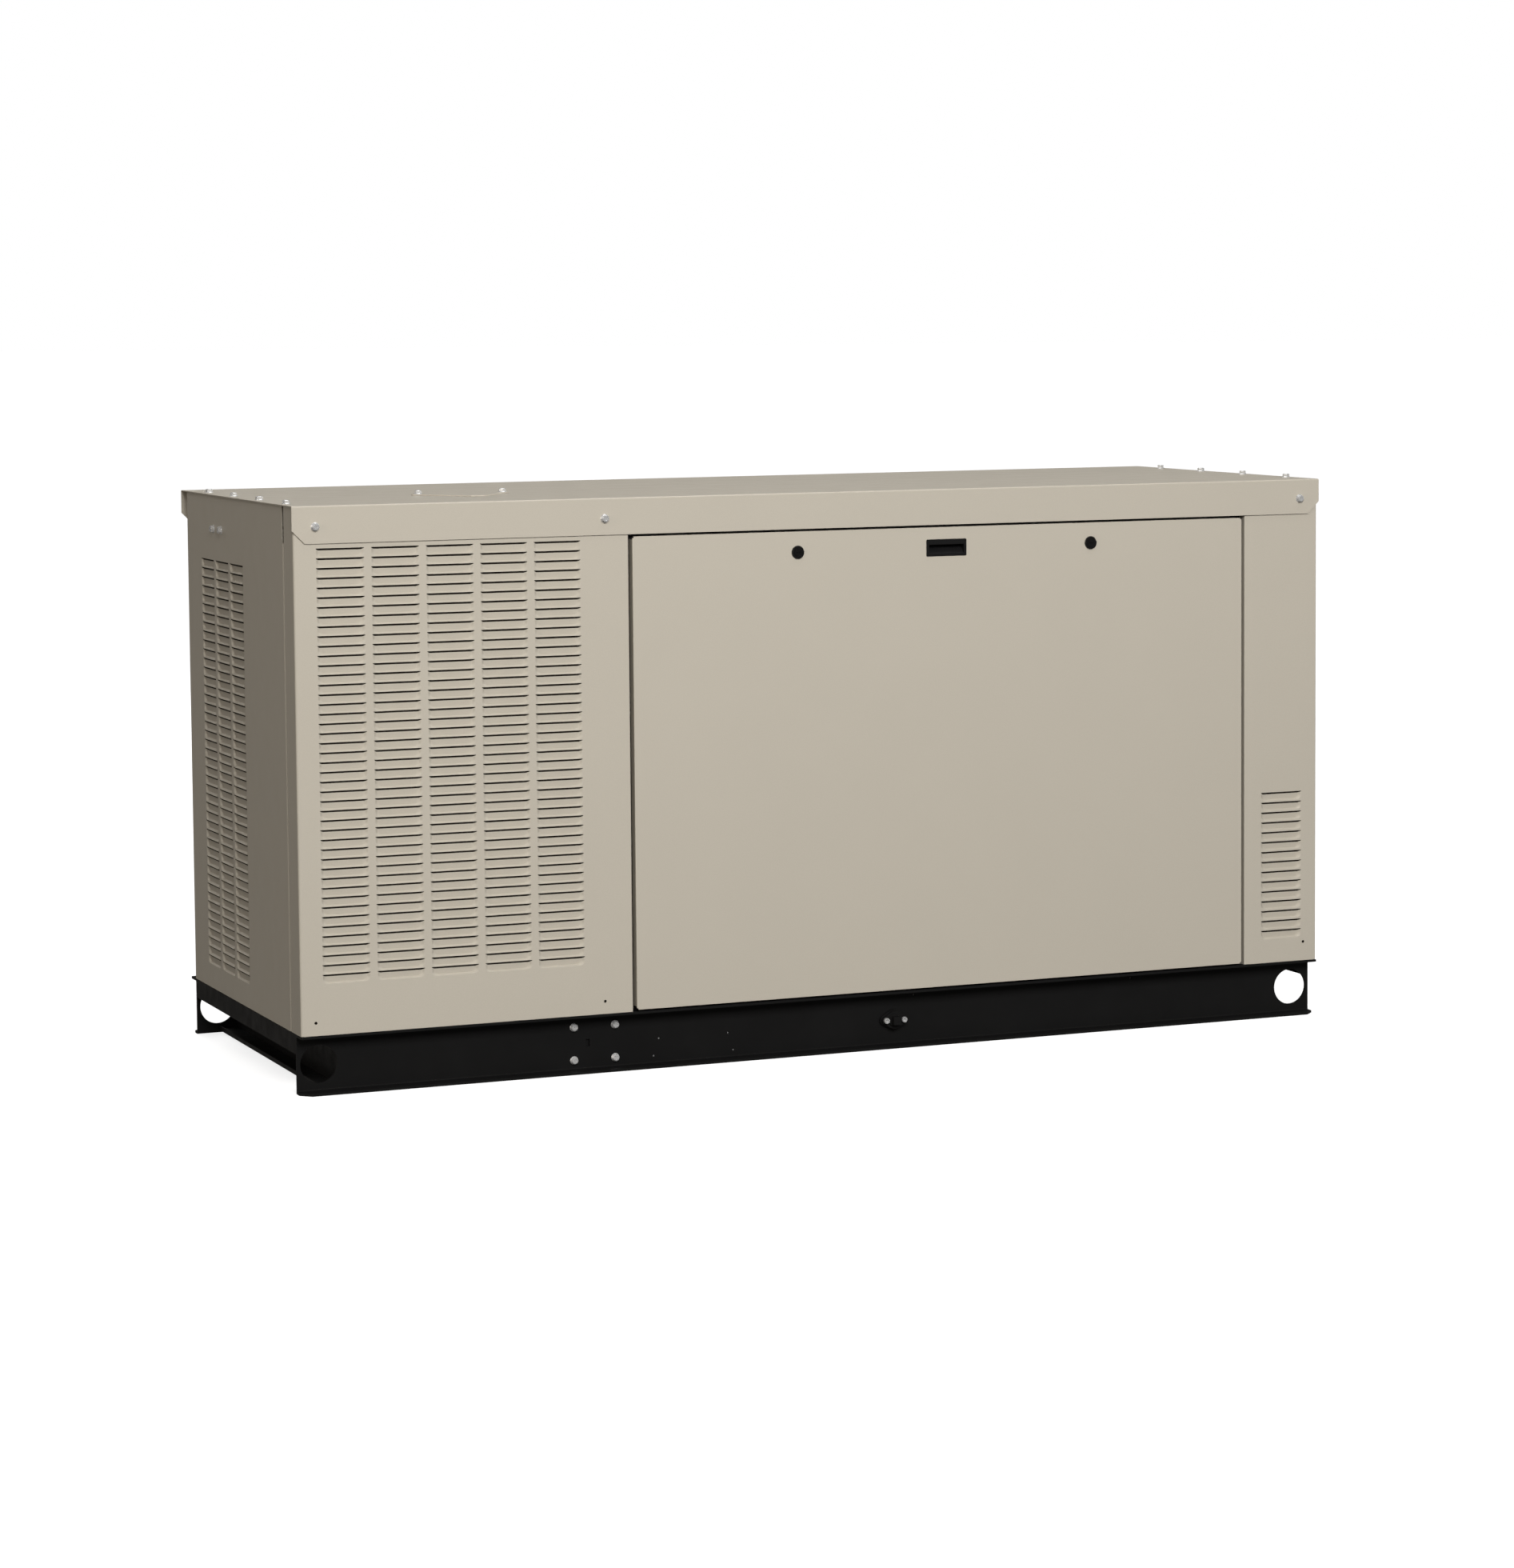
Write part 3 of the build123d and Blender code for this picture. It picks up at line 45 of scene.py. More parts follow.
# ---------------------------------------------------------------------------
# Camera
# ---------------------------------------------------------------------------
YAW, PITCH, ROLL, FPX = 0.3919, -0.0771, -0.0083, 5224.62
fwd = Vector((sin(YAW) * cos(PITCH), cos(YAW) * cos(PITCH), sin(PITCH)))
rgt = Vector((cos(YAW), -sin(YAW), 0.0))
upv = rgt.cross(fwd)
r2 = rgt * cos(ROLL) + upv * sin(ROLL)
u2 = upv * cos(ROLL) - rgt * sin(ROLL)
cam_data = bpy.data.cameras.new("camera")
cam_data.sensor_width = 36.0
cam_data.sensor_fit = "AUTO"
cam_data.lens = FPX / 1960.0 * 36.0
cam_data.shift_y = (784.0 - 980.0) / 1960.0
cam_data.clip_start = 0.1
cam_data.clip_end = 400.0
cam_data.dof.use_dof = False
cam = bpy.data.objects.new("camera", cam_data)
cam.matrix_world = Matrix(((r2.x, u2.x, -fwd.x, -3.3968),
                           (r2.y, u2.y, -fwd.y, -8.2350),
                           (r2.z, u2.z, -fwd.z, 1.5417),
                           (0, 0, 0, 1)))
COL.objects.link(cam)
SC.camera = cam
SC.view_settings.view_transform = "Standard"
SC.view_settings.look = "None"
SC.view_settings.exposure = 0.0


# ---------------------------------------------------------------------------
# Node helpers
# ---------------------------------------------------------------------------
class Mat:
    """Builds one procedural material on a Principled shader."""

    def __init__(self, name):
        self.m = bpy.data.materials.new(name)
        self.m.use_nodes = True
        self.nt = self.m.node_tree
        self.nt.nodes.clear()
        self.out = self.node("ShaderNodeOutputMaterial")
        self.b = self.node("ShaderNodeBsdfPrincipled")
        self.link(self.b.outputs["BSDF"], self.out.inputs["Surface"])
        self.tc = self.node("ShaderNodeTexCoord").outputs["Object"]
        self.bump_out = None

    def node(self, kind):
        return self.nt.nodes.new(kind)

    def link(self, a, b):
        self.nt.links.new(a, b)

    def set(self, **kw):
        for k, v in kw.items():
            self.b.inputs[k.replace("_", " ")].default_value = v
        return self

    def noise(self, scale, detail=2.0, rough=0.5, dist=0.0, vec=None):
        n = self.node("ShaderNodeTexNoise")
        n.inputs["Scale"].default_value = scale
        n.inputs["Detail"].default_value = detail
        n.inputs["Roughness"].default_value = rough
        n.inputs["Distortion"].default_value = dist
        self.link(vec or self.tc, n.inputs["Vector"])
        return n.outputs["Fac"]

    def voronoi(self, scale, out="Distance", feature="F1", vec=None):
        n = self.node("ShaderNodeTexVoronoi")
        n.feature = feature
        n.inputs["Scale"].default_value = scale
        self.link(vec or self.tc, n.inputs["Vector"])
        return n.outputs[out]

    def stretch(self, x, y, z):
        n = self.node("ShaderNodeMapping")
        n.inputs["Scale"].default_value = (x, y, z)
        self.link(self.tc, n.inputs["Vector"])
        return n.outputs["Vector"]

    def math(self, op, a, b):
        n = self.node("ShaderNodeMath")
        n.operation = op
        for i, v in enumerate((a, b)):
            if isinstance(v, (int, float)):
                n.inputs[i].default_value = v
            else:
                self.link(v, n.inputs[i])
        return n.outputs[0]

    def spread(self, fac, lo, hi, flo=0.3, fhi=0.7):
        n = self.node("ShaderNodeMapRange")
        n.inputs["From Min"].default_value = flo
        n.inputs["From Max"].default_value = fhi
        n.inputs["To Min"].default_value = lo
        n.inputs["To Max"].default_value = hi
        self.link(fac, n.inputs["Value"])
        return n.outputs["Result"]

    def ramp(self, fac, stops):
        n = self.node("ShaderNodeValToRGB")
        cr = n.color_ramp
        while len(cr.elements) < len(stops):
            cr.elements.new(0.5)
        for e, (p, c) in zip(cr.elements, stops):
            e.position = p
            e.color = (c[0], c[1], c[2], 1.0)
        self.link(fac, n.inputs["Fac"])
        return n.outputs["Color"]

    def mix(self, fac, a, b):
        n = self.node("ShaderNodeMix")
        n.data_type = "RGBA"
        self.link(fac, n.inputs[0])
        for sock, v in ((n.inputs[6], a), (n.inputs[7], b)):
            if isinstance(v, (tuple, list)):
                sock.default_value = (v[0], v[1], v[2], 1.0)
            else:
                self.link(v, sock)
        return n.outputs[2]

    def color(self, sock):
        self.link(sock, self.b.inputs["Base Color"])
        return self

    def rough(self, sock):
        self.link(sock, self.b.inputs["Roughness"])
        return self

    def bump(self, height, dist, strength=1.0):
        n = self.node("ShaderNodeBump")
        n.inputs["Distance"].default_value = dist
        n.inputs["Strength"].default_value = strength
        self.link(height, n.inputs["Height"])
        if self.bump_out is not None:
            self.link(self.bump_out, n.inputs["Normal"])
        self.bump_out = n.outputs["Normal"]
        return self

    def done(self):
        if self.bump_out is not None:
            self.link(self.bump_out, self.b.inputs["Normal"])
        return self.m


def shade(c, k):
    return tuple(min(1.0, v * k) for v in c)


def mottled(name, base, rough, var=0.04, scale=14.0, rvar=0.06, metallic=0.0, grain=700.0, grain_d=0.00012,
            peel=160.0, peel_d=0.00006, spec=0.5, coat=0.0, speck=0.0):
    """A sprayed or moulded surface: colour drift, fine speckle, orange peel and grain."""
    k = Mat(name)
    k.set(Metallic=metallic, Specular_IOR_Level=spec)
    if coat:
        k.set(Coat_Weight=coat, Coat_Roughness=0.12)
    drift = k.noise(scale, 4.0, 0.6)
    fine = k.noise(grain, 1.0, 0.5)
    c = k.ramp(drift, [(0.25, shade(base, 1 - var)), (0.75, shade(base, 1 + var))])
    if speck:
        d = k.ramp(fine, [(0.30, shade(base, 1 - speck)), (0.70, shade(base, 1 + speck))])
        n = k.node("ShaderNodeMix")
        n.data_type = "RGBA"
        n.inputs[0].default_value = 0.5
        k.link(c, n.inputs[6])
        k.link(d, n.inputs[7])
        c = n.outputs[2]
    k.color(c)
    k.rough(k.spread(k.noise(scale * 3.1, 3.0, 0.55), rough - rvar, rough + rvar))
    k.bump(fine, grain_d)
    k.bump(k.noise(peel, 2.0, 0.5), peel_d)
    return k.done()


BEIGE = (0.520, 0.483, 0.415)
M = {}
M["paint"] = mottled("beige_powder_coat", BEIGE, 0.38, var=0.018, scale=5.0, rvar=0.05,
                     grain=620.0, grain_d=0.00005, peel=190.0, peel_d=0.00004, spec=0.45, speck=0.05)
# painted shade: the door frame is near-black so the gaps round the door read as shadow
M["frame_dark"] = mottled("door_frame_painted_gap_shade", (0.060, 0.053, 0.044), 0.6, var=0.05, scale=8.0, spec=0.3)
# painted shade: near-black for the louvre lips behind the slits and the cups behind the round holes, standing in for
# the shadow inside them
M["inner"] = mottled("louvre_slit_painted_shade", (0.018, 0.015, 0.012), 0.75, var=0.10, scale=30.0, spec=0.2)
M["black"] = mottled("black_frame_paint", (0.0092, 0.0092, 0.0094), 0.46, var=0.12, scale=9.0, rvar=0.08,
                     grain=520.0, grain_d=0.0001, peel=150.0, peel_d=0.00008, spec=0.22)
M["plastic"] = mottled("black_moulded_plastic", (0.009, 0.009, 0.0095), 0.40, var=0.08, scale=30.0, rvar=0.05,
                       grain=1100.0, grain_d=0.00006, peel=300.0, peel_d=0.00003, spec=0.4)
M["lock"] = mottled("black_lock_die_cast", (0.006, 0.006, 0.0065), 0.24, var=0.08, scale=60.0, rvar=0.05,
                    grain=1500.0, grain_d=0.00003, peel=300.0, peel_d=0.00002, spec=0.55)
M["gray"] = mottled("control_grey_paint", (0.20, 0.21, 0.22), 0.42, var=0.03, scale=8.0, spec=0.45, speck=0.06)
M["gloss_black"] = mottled("black_enamel", (0.014, 0.014, 0.016), 0.26, var=0.1, scale=12.0, rvar=0.06,
                           grain=400.0, grain_d=0.00004, peel=120.0, peel_d=0.00012, spec=0.5)
M["battery"] = mottled("battery_polypropylene", (0.022, 0.022, 0.024), 0.38, var=0.06, scale=20.0, spec=0.45)
M["yellow"] = mottled("gas_pipe_enamel", (0.52, 0.33, 0.055), 0.36, var=0.05, scale=18.0, spec=0.5)
M["red"] = mottled("red_plastic", (0.32, 0.016, 0.012), 0.35, var=0.05, scale=40.0, spec=0.45)


def zinc(name="bright_zinc", base=(0.86, 0.87, 0.88)):
    k = Mat(name)
    k.set(Metallic=0.6)
    k.color(k.ramp(k.noise(60.0, 3.0, 0.6), [(0.3, shade(base, 0.88)), (0.7, shade(base, 1.06))]))
    k.rough(k.spread(k.noise(240.0, 2.0), 0.22, 0.36))
    k.bump(k.noise(900.0, 2.0), 0.00003)
    return k.done()


def galvanised():
    k = Mat("galvanised_sheet")
    k.set(Metallic=1.0)
    cell = k.voronoi(34.0, out="Color")
    sep = k.node("ShaderNodeSeparateColor")
    k.link(cell, sep.inputs[0])
    k.color(k.ramp(sep.outputs[0], [(0.0, (0.36, 0.37, 0.38)), (0.5, (0.47, 0.48, 0.49)), (1.0, (0.58, 0.59, 0.60))]))
    k.rough(k.spread(sep.outputs[1], 0.38, 0.56, 0.0, 1.0))
    k.bump(k.noise(420.0, 2.0), 0.00004)
    return k.done()


def cast(name, base, metallic, rough, size=260.0, depth=0.0006, var=0.12, stain=(0.0, 0.0, 0.0), stain_amt=0.0):
    k = Mat(name)
    k.set(Metallic=metallic)
    c = k.ramp(k.noise(11.0, 5.0, 0.62), [(0.25, shade(base, 1 - var)), (0.75, shade(base, 1 + var))])
    if stain_amt:
        mask = k.spread(k.noise(5.0, 6.0, 0.7), 0.0, stain_amt, 0.52, 0.72)
        c = k.mix(mask, c, stain)
    k.color(c)
    k.rough(k.spread(k.noise(90.0, 3.0), rough - 0.08, rough + 0.1))
    k.bump(k.noise(size, 3.0, 0.6), depth)
    return k.done()


def foam():
    k = Mat("acoustic_foam")
    k.set(Roughness=0.95, Specular_IOR_Level=0.15)
    cell = k.voronoi(640.0)
    k.color(k.ramp(cell, [(0.0, (0.012, 0.012, 0.013)), (0.6, (0.045, 0.045, 0.048))]))
    s = k.node("ShaderNodeSeparateXYZ")
    k.link(k.tc, s.inputs[0])
    wx = k.math("SINE", k.math("MULTIPLY", s.outputs[0], 2 * pi / 0.045), 0.0)
    wz = k.math("SINE", k.math("MULTIPLY", k.math("ADD", s.outputs[2], s.outputs[1]), 2 * pi / 0.045), 0.0)
    k.bump(k.math("MULTIPLY", wx, wz), 0.007)
    k.bump(cell, 0.0012)
    return k.done()


def fins():
    k = Mat("radiator_fins_painted_gap_shade")
    k.set(Metallic=0.85)
    s = k.node("ShaderNodeSeparateXYZ")
    k.link(k.tc, s.inputs[0])
    w = k.math("SINE", k.math("MULTIPLY", s.outputs[2], 2 * pi / 0.0032), 0.0)
    # painted shade: near-black stripes in the gaps between the fins, at the fin pitch; the lighter stripes are the
    # fins' own metal
    k.color(k.ramp(k.spread(w, 0.0, 1.0, -1.0, 1.0), [(0.0, (0.01, 0.01, 0.011)), (0.55, (0.16, 0.165, 0.17)), (1.0, (0.30, 0.31, 0.32))]))
    k.rough(k.spread(k.noise(40.0), 0.34, 0.5))
    k.bump(w, 0.0012)
    return k.done()


def windings():
    k = Mat("copper_windings")
    k.set(Metallic=0.7)
    v = k.stretch(1.0, 6.0, 6.0)
    k.color(k.ramp(k.noise(120.0, 3.0, 0.6, vec=v), [(0.3, (0.20, 0.055, 0.018)), (0.7, (0.52, 0.19, 0.07))]))
    k.rough(k.spread(k.noise(60.0), 0.28, 0.45))
    k.bump(k.noise(320.0, 2.0, vec=v), 0.0008)
    return k.done()


def rubber(name="rubber", base=(0.017, 0.017, 0.018)):
    k = Mat(name)
    k.set(Specular_IOR_Level=0.3)
    k.color(k.ramp(k.noise(25.0, 4.0), [(0.3, shade(base, 0.8)), (0.7, shade(base, 1.35))]))
    k.rough(k.spread(k.noise(70.0, 2.0), 0.55, 0.78))
    k.bump(k.noise(700.0, 2.0), 0.00012)
    return k.done()


def screen():
    k = Mat("display_glass")
    k.set(Roughness=0.12, Specular_IOR_Level=0.6)
    k.color(k.ramp(k.noise(3.0, 1.0), [(0.3, (0.035, 0.055, 0.045)), (0.7, (0.05, 0.075, 0.06))]))
    k.bump(k.noise(60.0), 0.00001)
    return k.done()


M["zinc"] = zinc()
M["galv"] = galvanised()
M["iron"] = cast("cast_iron_painted", (0.085, 0.092, 0.098), 0.25, 0.48, depth=0.0005)
M["alu"] = cast("cast_aluminium", (0.50, 0.505, 0.51), 0.9, 0.42, size=340.0, depth=0.00035, var=0.08)
M["alu_machined"] = cast("machined_aluminium", (0.60, 0.60, 0.61), 1.0, 0.3, size=500.0, depth=0.00008, var=0.05)
M["exhaust"] = cast("manifold_iron", (0.16, 0.125, 0.105), 0.5, 0.66, size=220.0, depth=0.0008, var=0.2,
                    stain=(0.20, 0.075, 0.03), stain_amt=0.7)
M["aluminised"] = cast("aluminised_steel", (0.42, 0.42, 0.40), 0.9, 0.46, size=90.0, depth=0.00015, var=0.06,
                       stain=(0.24, 0.20, 0.15), stain_amt=0.35)
M["foam"] = foam()
M["fins"] = fins()
M["copper"] = windings()
M["rubber"] = rubber()
M["screen"] = screen()
M["lamp_green"] = mottled("green_lens", (0.02, 0.22, 0.05), 0.2, spec=0.6)
M["lamp_amber"] = mottled("amber_lens", (0.5, 0.2, 0.01), 0.2, spec=0.6)


# ---------------------------------------------------------------------------
# Mesh helpers
# ---------------------------------------------------------------------------
def finish_mesh(me, angle=32.0):
    """Smooth shading with sharp edges kept where faces meet at more than angle."""
    bm = bmesh.new()
    bm.from_mesh(me)
    lim = radians(angle)
    for f in bm.faces:
        f.smooth = True
    for e in bm.edges:
        e.smooth = not (len(e.link_faces) == 2 and e.calc_face_angle(0.0) > lim)
    bm.to_mesh(me)
    bm.free()
    me.update()


def new_object(name, me, body, mat, replaces=(), angle=32.0):
    finish_mesh(me, angle)
    o = bpy.data.objects.new(name, me)
    COL.objects.link(o)
    mats = mat if isinstance(mat, (list, tuple)) else [mat]
    me.materials.clear()
    for m in mats:
        me.materials.append(M[m])
    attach(o, body)
    if replaces:
        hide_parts(*replaces)
    return o


def mesh_from(name, verts, faces, mat_ids=None):
    me = bpy.data.meshes.new(name)
    me.from_pydata([tuple(v) for v in verts], [], [tuple(f) for f in faces])
    if mat_ids:
        me.polygons.foreach_set("material_index", mat_ids)
    me.validate()
    me.update()
    return me


def apply_modifiers(o):
    bpy.context.view_layer.update()
    dg = bpy.context.evaluated_depsgraph_get()
    me = bpy.data.meshes.new_from_object(o.evaluated_get(dg))
    o.modifiers.clear()
    old = o.data
    o.data = me
    bpy.data.meshes.remove(old)
    return me


def weigh(o):
    """Large flat faces keep a flat look; only the rolled edges turn the light."""
    mod = o.modifiers.new("weigh", "WEIGHTED_NORMAL")
    mod.mode = "FACE_AREA"
    mod.weight = 50
    mod.keep_sharp = True
    return apply_modifiers(o)


def strip_attributes(me):
    for a in [a.name for a in me.attributes]:
        if a in ("custom_normal",):
            me.attributes.remove(me.attributes[a])


def refine(node, body, mat, width=0.8, segments=2, angle=30.0, name=None, sharp=38.0, trim=None):
    """The CAD shape of a node with its edges rolled over, as pressed, cast or sprayed parts have them."""
    me = N[node].data.copy()
    me.name = (name or node + "_skin")
    strip_attributes(me)
    for u in list(me.uv_layers):
        me.uv_layers.remove(u)
    bm = bmesh.new()
    bm.from_mesh(me)
    bmesh.ops.remove_doubles(bm, verts=bm.verts, dist=2e-6)
    bmesh.ops.dissolve_limit(bm, angle_limit=radians(0.4), verts=bm.verts, edges=bm.edges)
    if trim:
        for v in bm.verts:
            trim(v.co)
    bm.to_mesh(me)
    bm.free()
    o = bpy.data.objects.new(name or node + "_skin", me)
    COL.objects.link(o)
    if width > 0:
        mod = o.modifiers.new("edge", "BEVEL")
        mod.width = width * MM
        mod.segments = segments
        mod.limit_method = "ANGLE"
        mod.angle_limit = radians(angle)
        mod.use_clamp_overlap = True
        mod.miter_outer = "MITER_ARC"
        me = apply_modifiers(o)
    me.materials.clear()
    for m in (mat if isinstance(mat, (list, tuple)) else [mat]):
        me.materials.append(M[m])
    me.polygons.foreach_set("material_index", [0] * len(me.polygons))
    finish_mesh(me, sharp)
    weigh(o)
    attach(o, body)
    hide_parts(node)
    return o


def frame_at(p, axis):
    """Matrix whose Z runs along axis, placed at p (millimetres)."""
    z = Vector(axis).normalized()
    x = Vector((1, 0, 0)) if abs(z.x) < 0.9 else Vector((0, 1, 0))
    x = (x - z * x.dot(z)).normalized()
    y = z.cross(x)
    m = Matrix((x, y, z)).transposed().to_4x4()
    m.translation = Vector(p) * MM
    return m


class Build:
    """Collects faces of one piece in metres; points are given in millimetres."""

    def __init__(self):
        self.v, self.f, self.m = [], [], []

    def ring(self, pts):
        i = len(self.v)
        self.v += [Vector(p) * MM for p in pts]
        return list(range(i, i + len(pts)))

    def face(self, ids, mat=0):
        self.f.append(tuple(ids))
        self.m.append(mat)

    def bridge(self, a, b, mat=0, closed=True):
        n = len(a)
        for i in range(n if closed else n - 1):
            j = (i + 1) % n
            self.face((a[i], a[j], b[j], b[i]), mat)

    def lathe(self, mtx, profile, seg=32, mat=0, cap0=True, cap1=True, shape=None):
        """profile: (r, z[, mat]) in mm along the local Z of mtx; shape(theta, k) scales the radius."""
        rings = []
        for k, pr in enumerate(profile):
            r, z = pr[0], pr[1]
            ids = []
            base = len(self.v)
            for i in range(seg):
                t = 2 * pi * i / seg
                rr = r * (shape(t, k) if shape else 1.0)
                self.v.append(mtx @ (Vector((rr * cos(t), rr * sin(t), z)) * MM))
                ids.append(base + i)
            rings.append(ids)
        for k in range(len(rings) - 1):
            mm = profile[k + 1][2] if len(profile[k + 1]) > 2 else mat
            self.bridge(rings[k], rings[k + 1], mm)
        if cap0:
            self.face(list(reversed(rings[0])), mat)
        if cap1:
            self.face(rings[-1], profile[-1][2] if len(profile[-1]) > 2 else mat)

    def box(self, x0, x1, y0, y1, z0, z1, mat=0):
        a = self.ring([(x0, y0, z0), (x1, y0, z0), (x1, y1, z0), (x0, y1, z0)])
        b = self.ring([(x0, y0, z1), (x1, y0, z1), (x1, y1, z1), (x0, y1, z1)])
        self.bridge(a, b, mat)
        self.face(list(reversed(a)), mat)
        self.face(b, mat)

    def tube(self, pts, r, seg=12, mat=0):
        """Round tube through points in mm (already smooth)."""
        pts = [Vector(p) for p in pts]
        up = Vector((0, 0, 1))
        rings = []
        prev = None
        for i, p in enumerate(pts):
            d = (pts[min(i + 1, len(pts) - 1)] - pts[max(i - 1, 0)]).normalized()
            if prev is None:
                x = up.cross(d)
                if x.length < 1e-3:
                    x = Vector((1, 0, 0)).cross(d)
            else:
                x = prev - d * prev.dot(d)
            x.normalize()
            prev = x
            y = d.cross(x)
            rings.append(self.ring([p + x * (r * cos(2 * pi * k / seg)) + y * (r * sin(2 * pi * k / seg)) for k in range(seg)]))
        for a, b in zip(rings, rings[1:]):
            self.bridge(a, b, mat)
        self.face(list(reversed(rings[0])), mat)
        self.face(rings[-1], mat)

    def mesh(self, name):
        return mesh_from(name, self.v, self.f, self.m)


def recalc(me):
    bm = bmesh.new()
    bm.from_mesh(me)
    bmesh.ops.recalc_face_normals(bm, faces=bm.faces)
    bm.to_mesh(me)
    bm.free()


# ---------------------------------------------------------------------------
# Louvred and plain sheet panels
# ---------------------------------------------------------------------------
BODY_X, FRONT_Y, REAR_Y = 1137.0, -414.8, 385.0
RAIL_H, ROOF_TOP, SHEET = 119.0, 1159.0, 2.0
PZ0, PZ1 = RAIL_H + 0.5, ROOF_TOP - SHEET - 0.5
LV_W, SLIT = 98.0, 3.4
HALF = LV_W / 2
LV_D, LV_WALL, LV_FOOT, LV_R = 3.9, 5.4, 2.6, 11.5
U_HALF = [35.2, 38.4, 41.0, 43.2, 44.9, 46.4, 47.8, 49.0]
U_ST = [-u for u in reversed(U_HALF)] + [0.0] + U_HALF
V_ST = [2.3, -1.7, -3.2, -5.4, -7.8, -10.0, -12.0, -13.2, -13.9, -14.6, -15.2, -15.8]
LV_BOTTOM = 15.8


def sstep(t):
    t = max(0.0, min(1.0, t))
    return t * t * (3 - 2 * t)


def pocket_depth(u, v):
    """Depth of the pressed louvre below the sheet, u from its middle, v from the slit's middle: a flat floor
    inside a D-shaped wall with two round lower corners, cut open along the slit at its top."""
    if abs(u) >= HALF or v > -1.69 or v < -LV_BOTTOM:
        return 0.0
    qx = abs(u) - (HALF - LV_R)
    qy = (LV_R - LV_BOTTOM) - v
    if qx > 0 and qy > 0:
        wall = LV_FOOT + (LV_WALL - LV_FOOT) * qx / (qx + qy)
        t = (LV_R - sqrt(qx * qx + qy * qy)) / wall
    else:
        t = min((HALF - abs(u)) / LV_WALL, (v + LV_BOTTOM) / LV_FOOT)
    return (LV_D + 1.2 * max(0.0, min(1.0, (-1.7 - v) / 11.0))) * sstep(t)


def slit_taper(u):
    """How far the slit's lower edge climbs towards the upper one near its ends."""
    return 3.0 * max(0.0, (abs(u) - 42.0) / 7.0) ** 1.6


def arc(cx, cy, r, a0, a1, n):
    return [(cx + r * cos(radians(a0 + (a1 - a0) * i / n)), cy + r * sin(radians(a0 + (a1 - a0) * i / n)))
            for i in range(n + 1)]


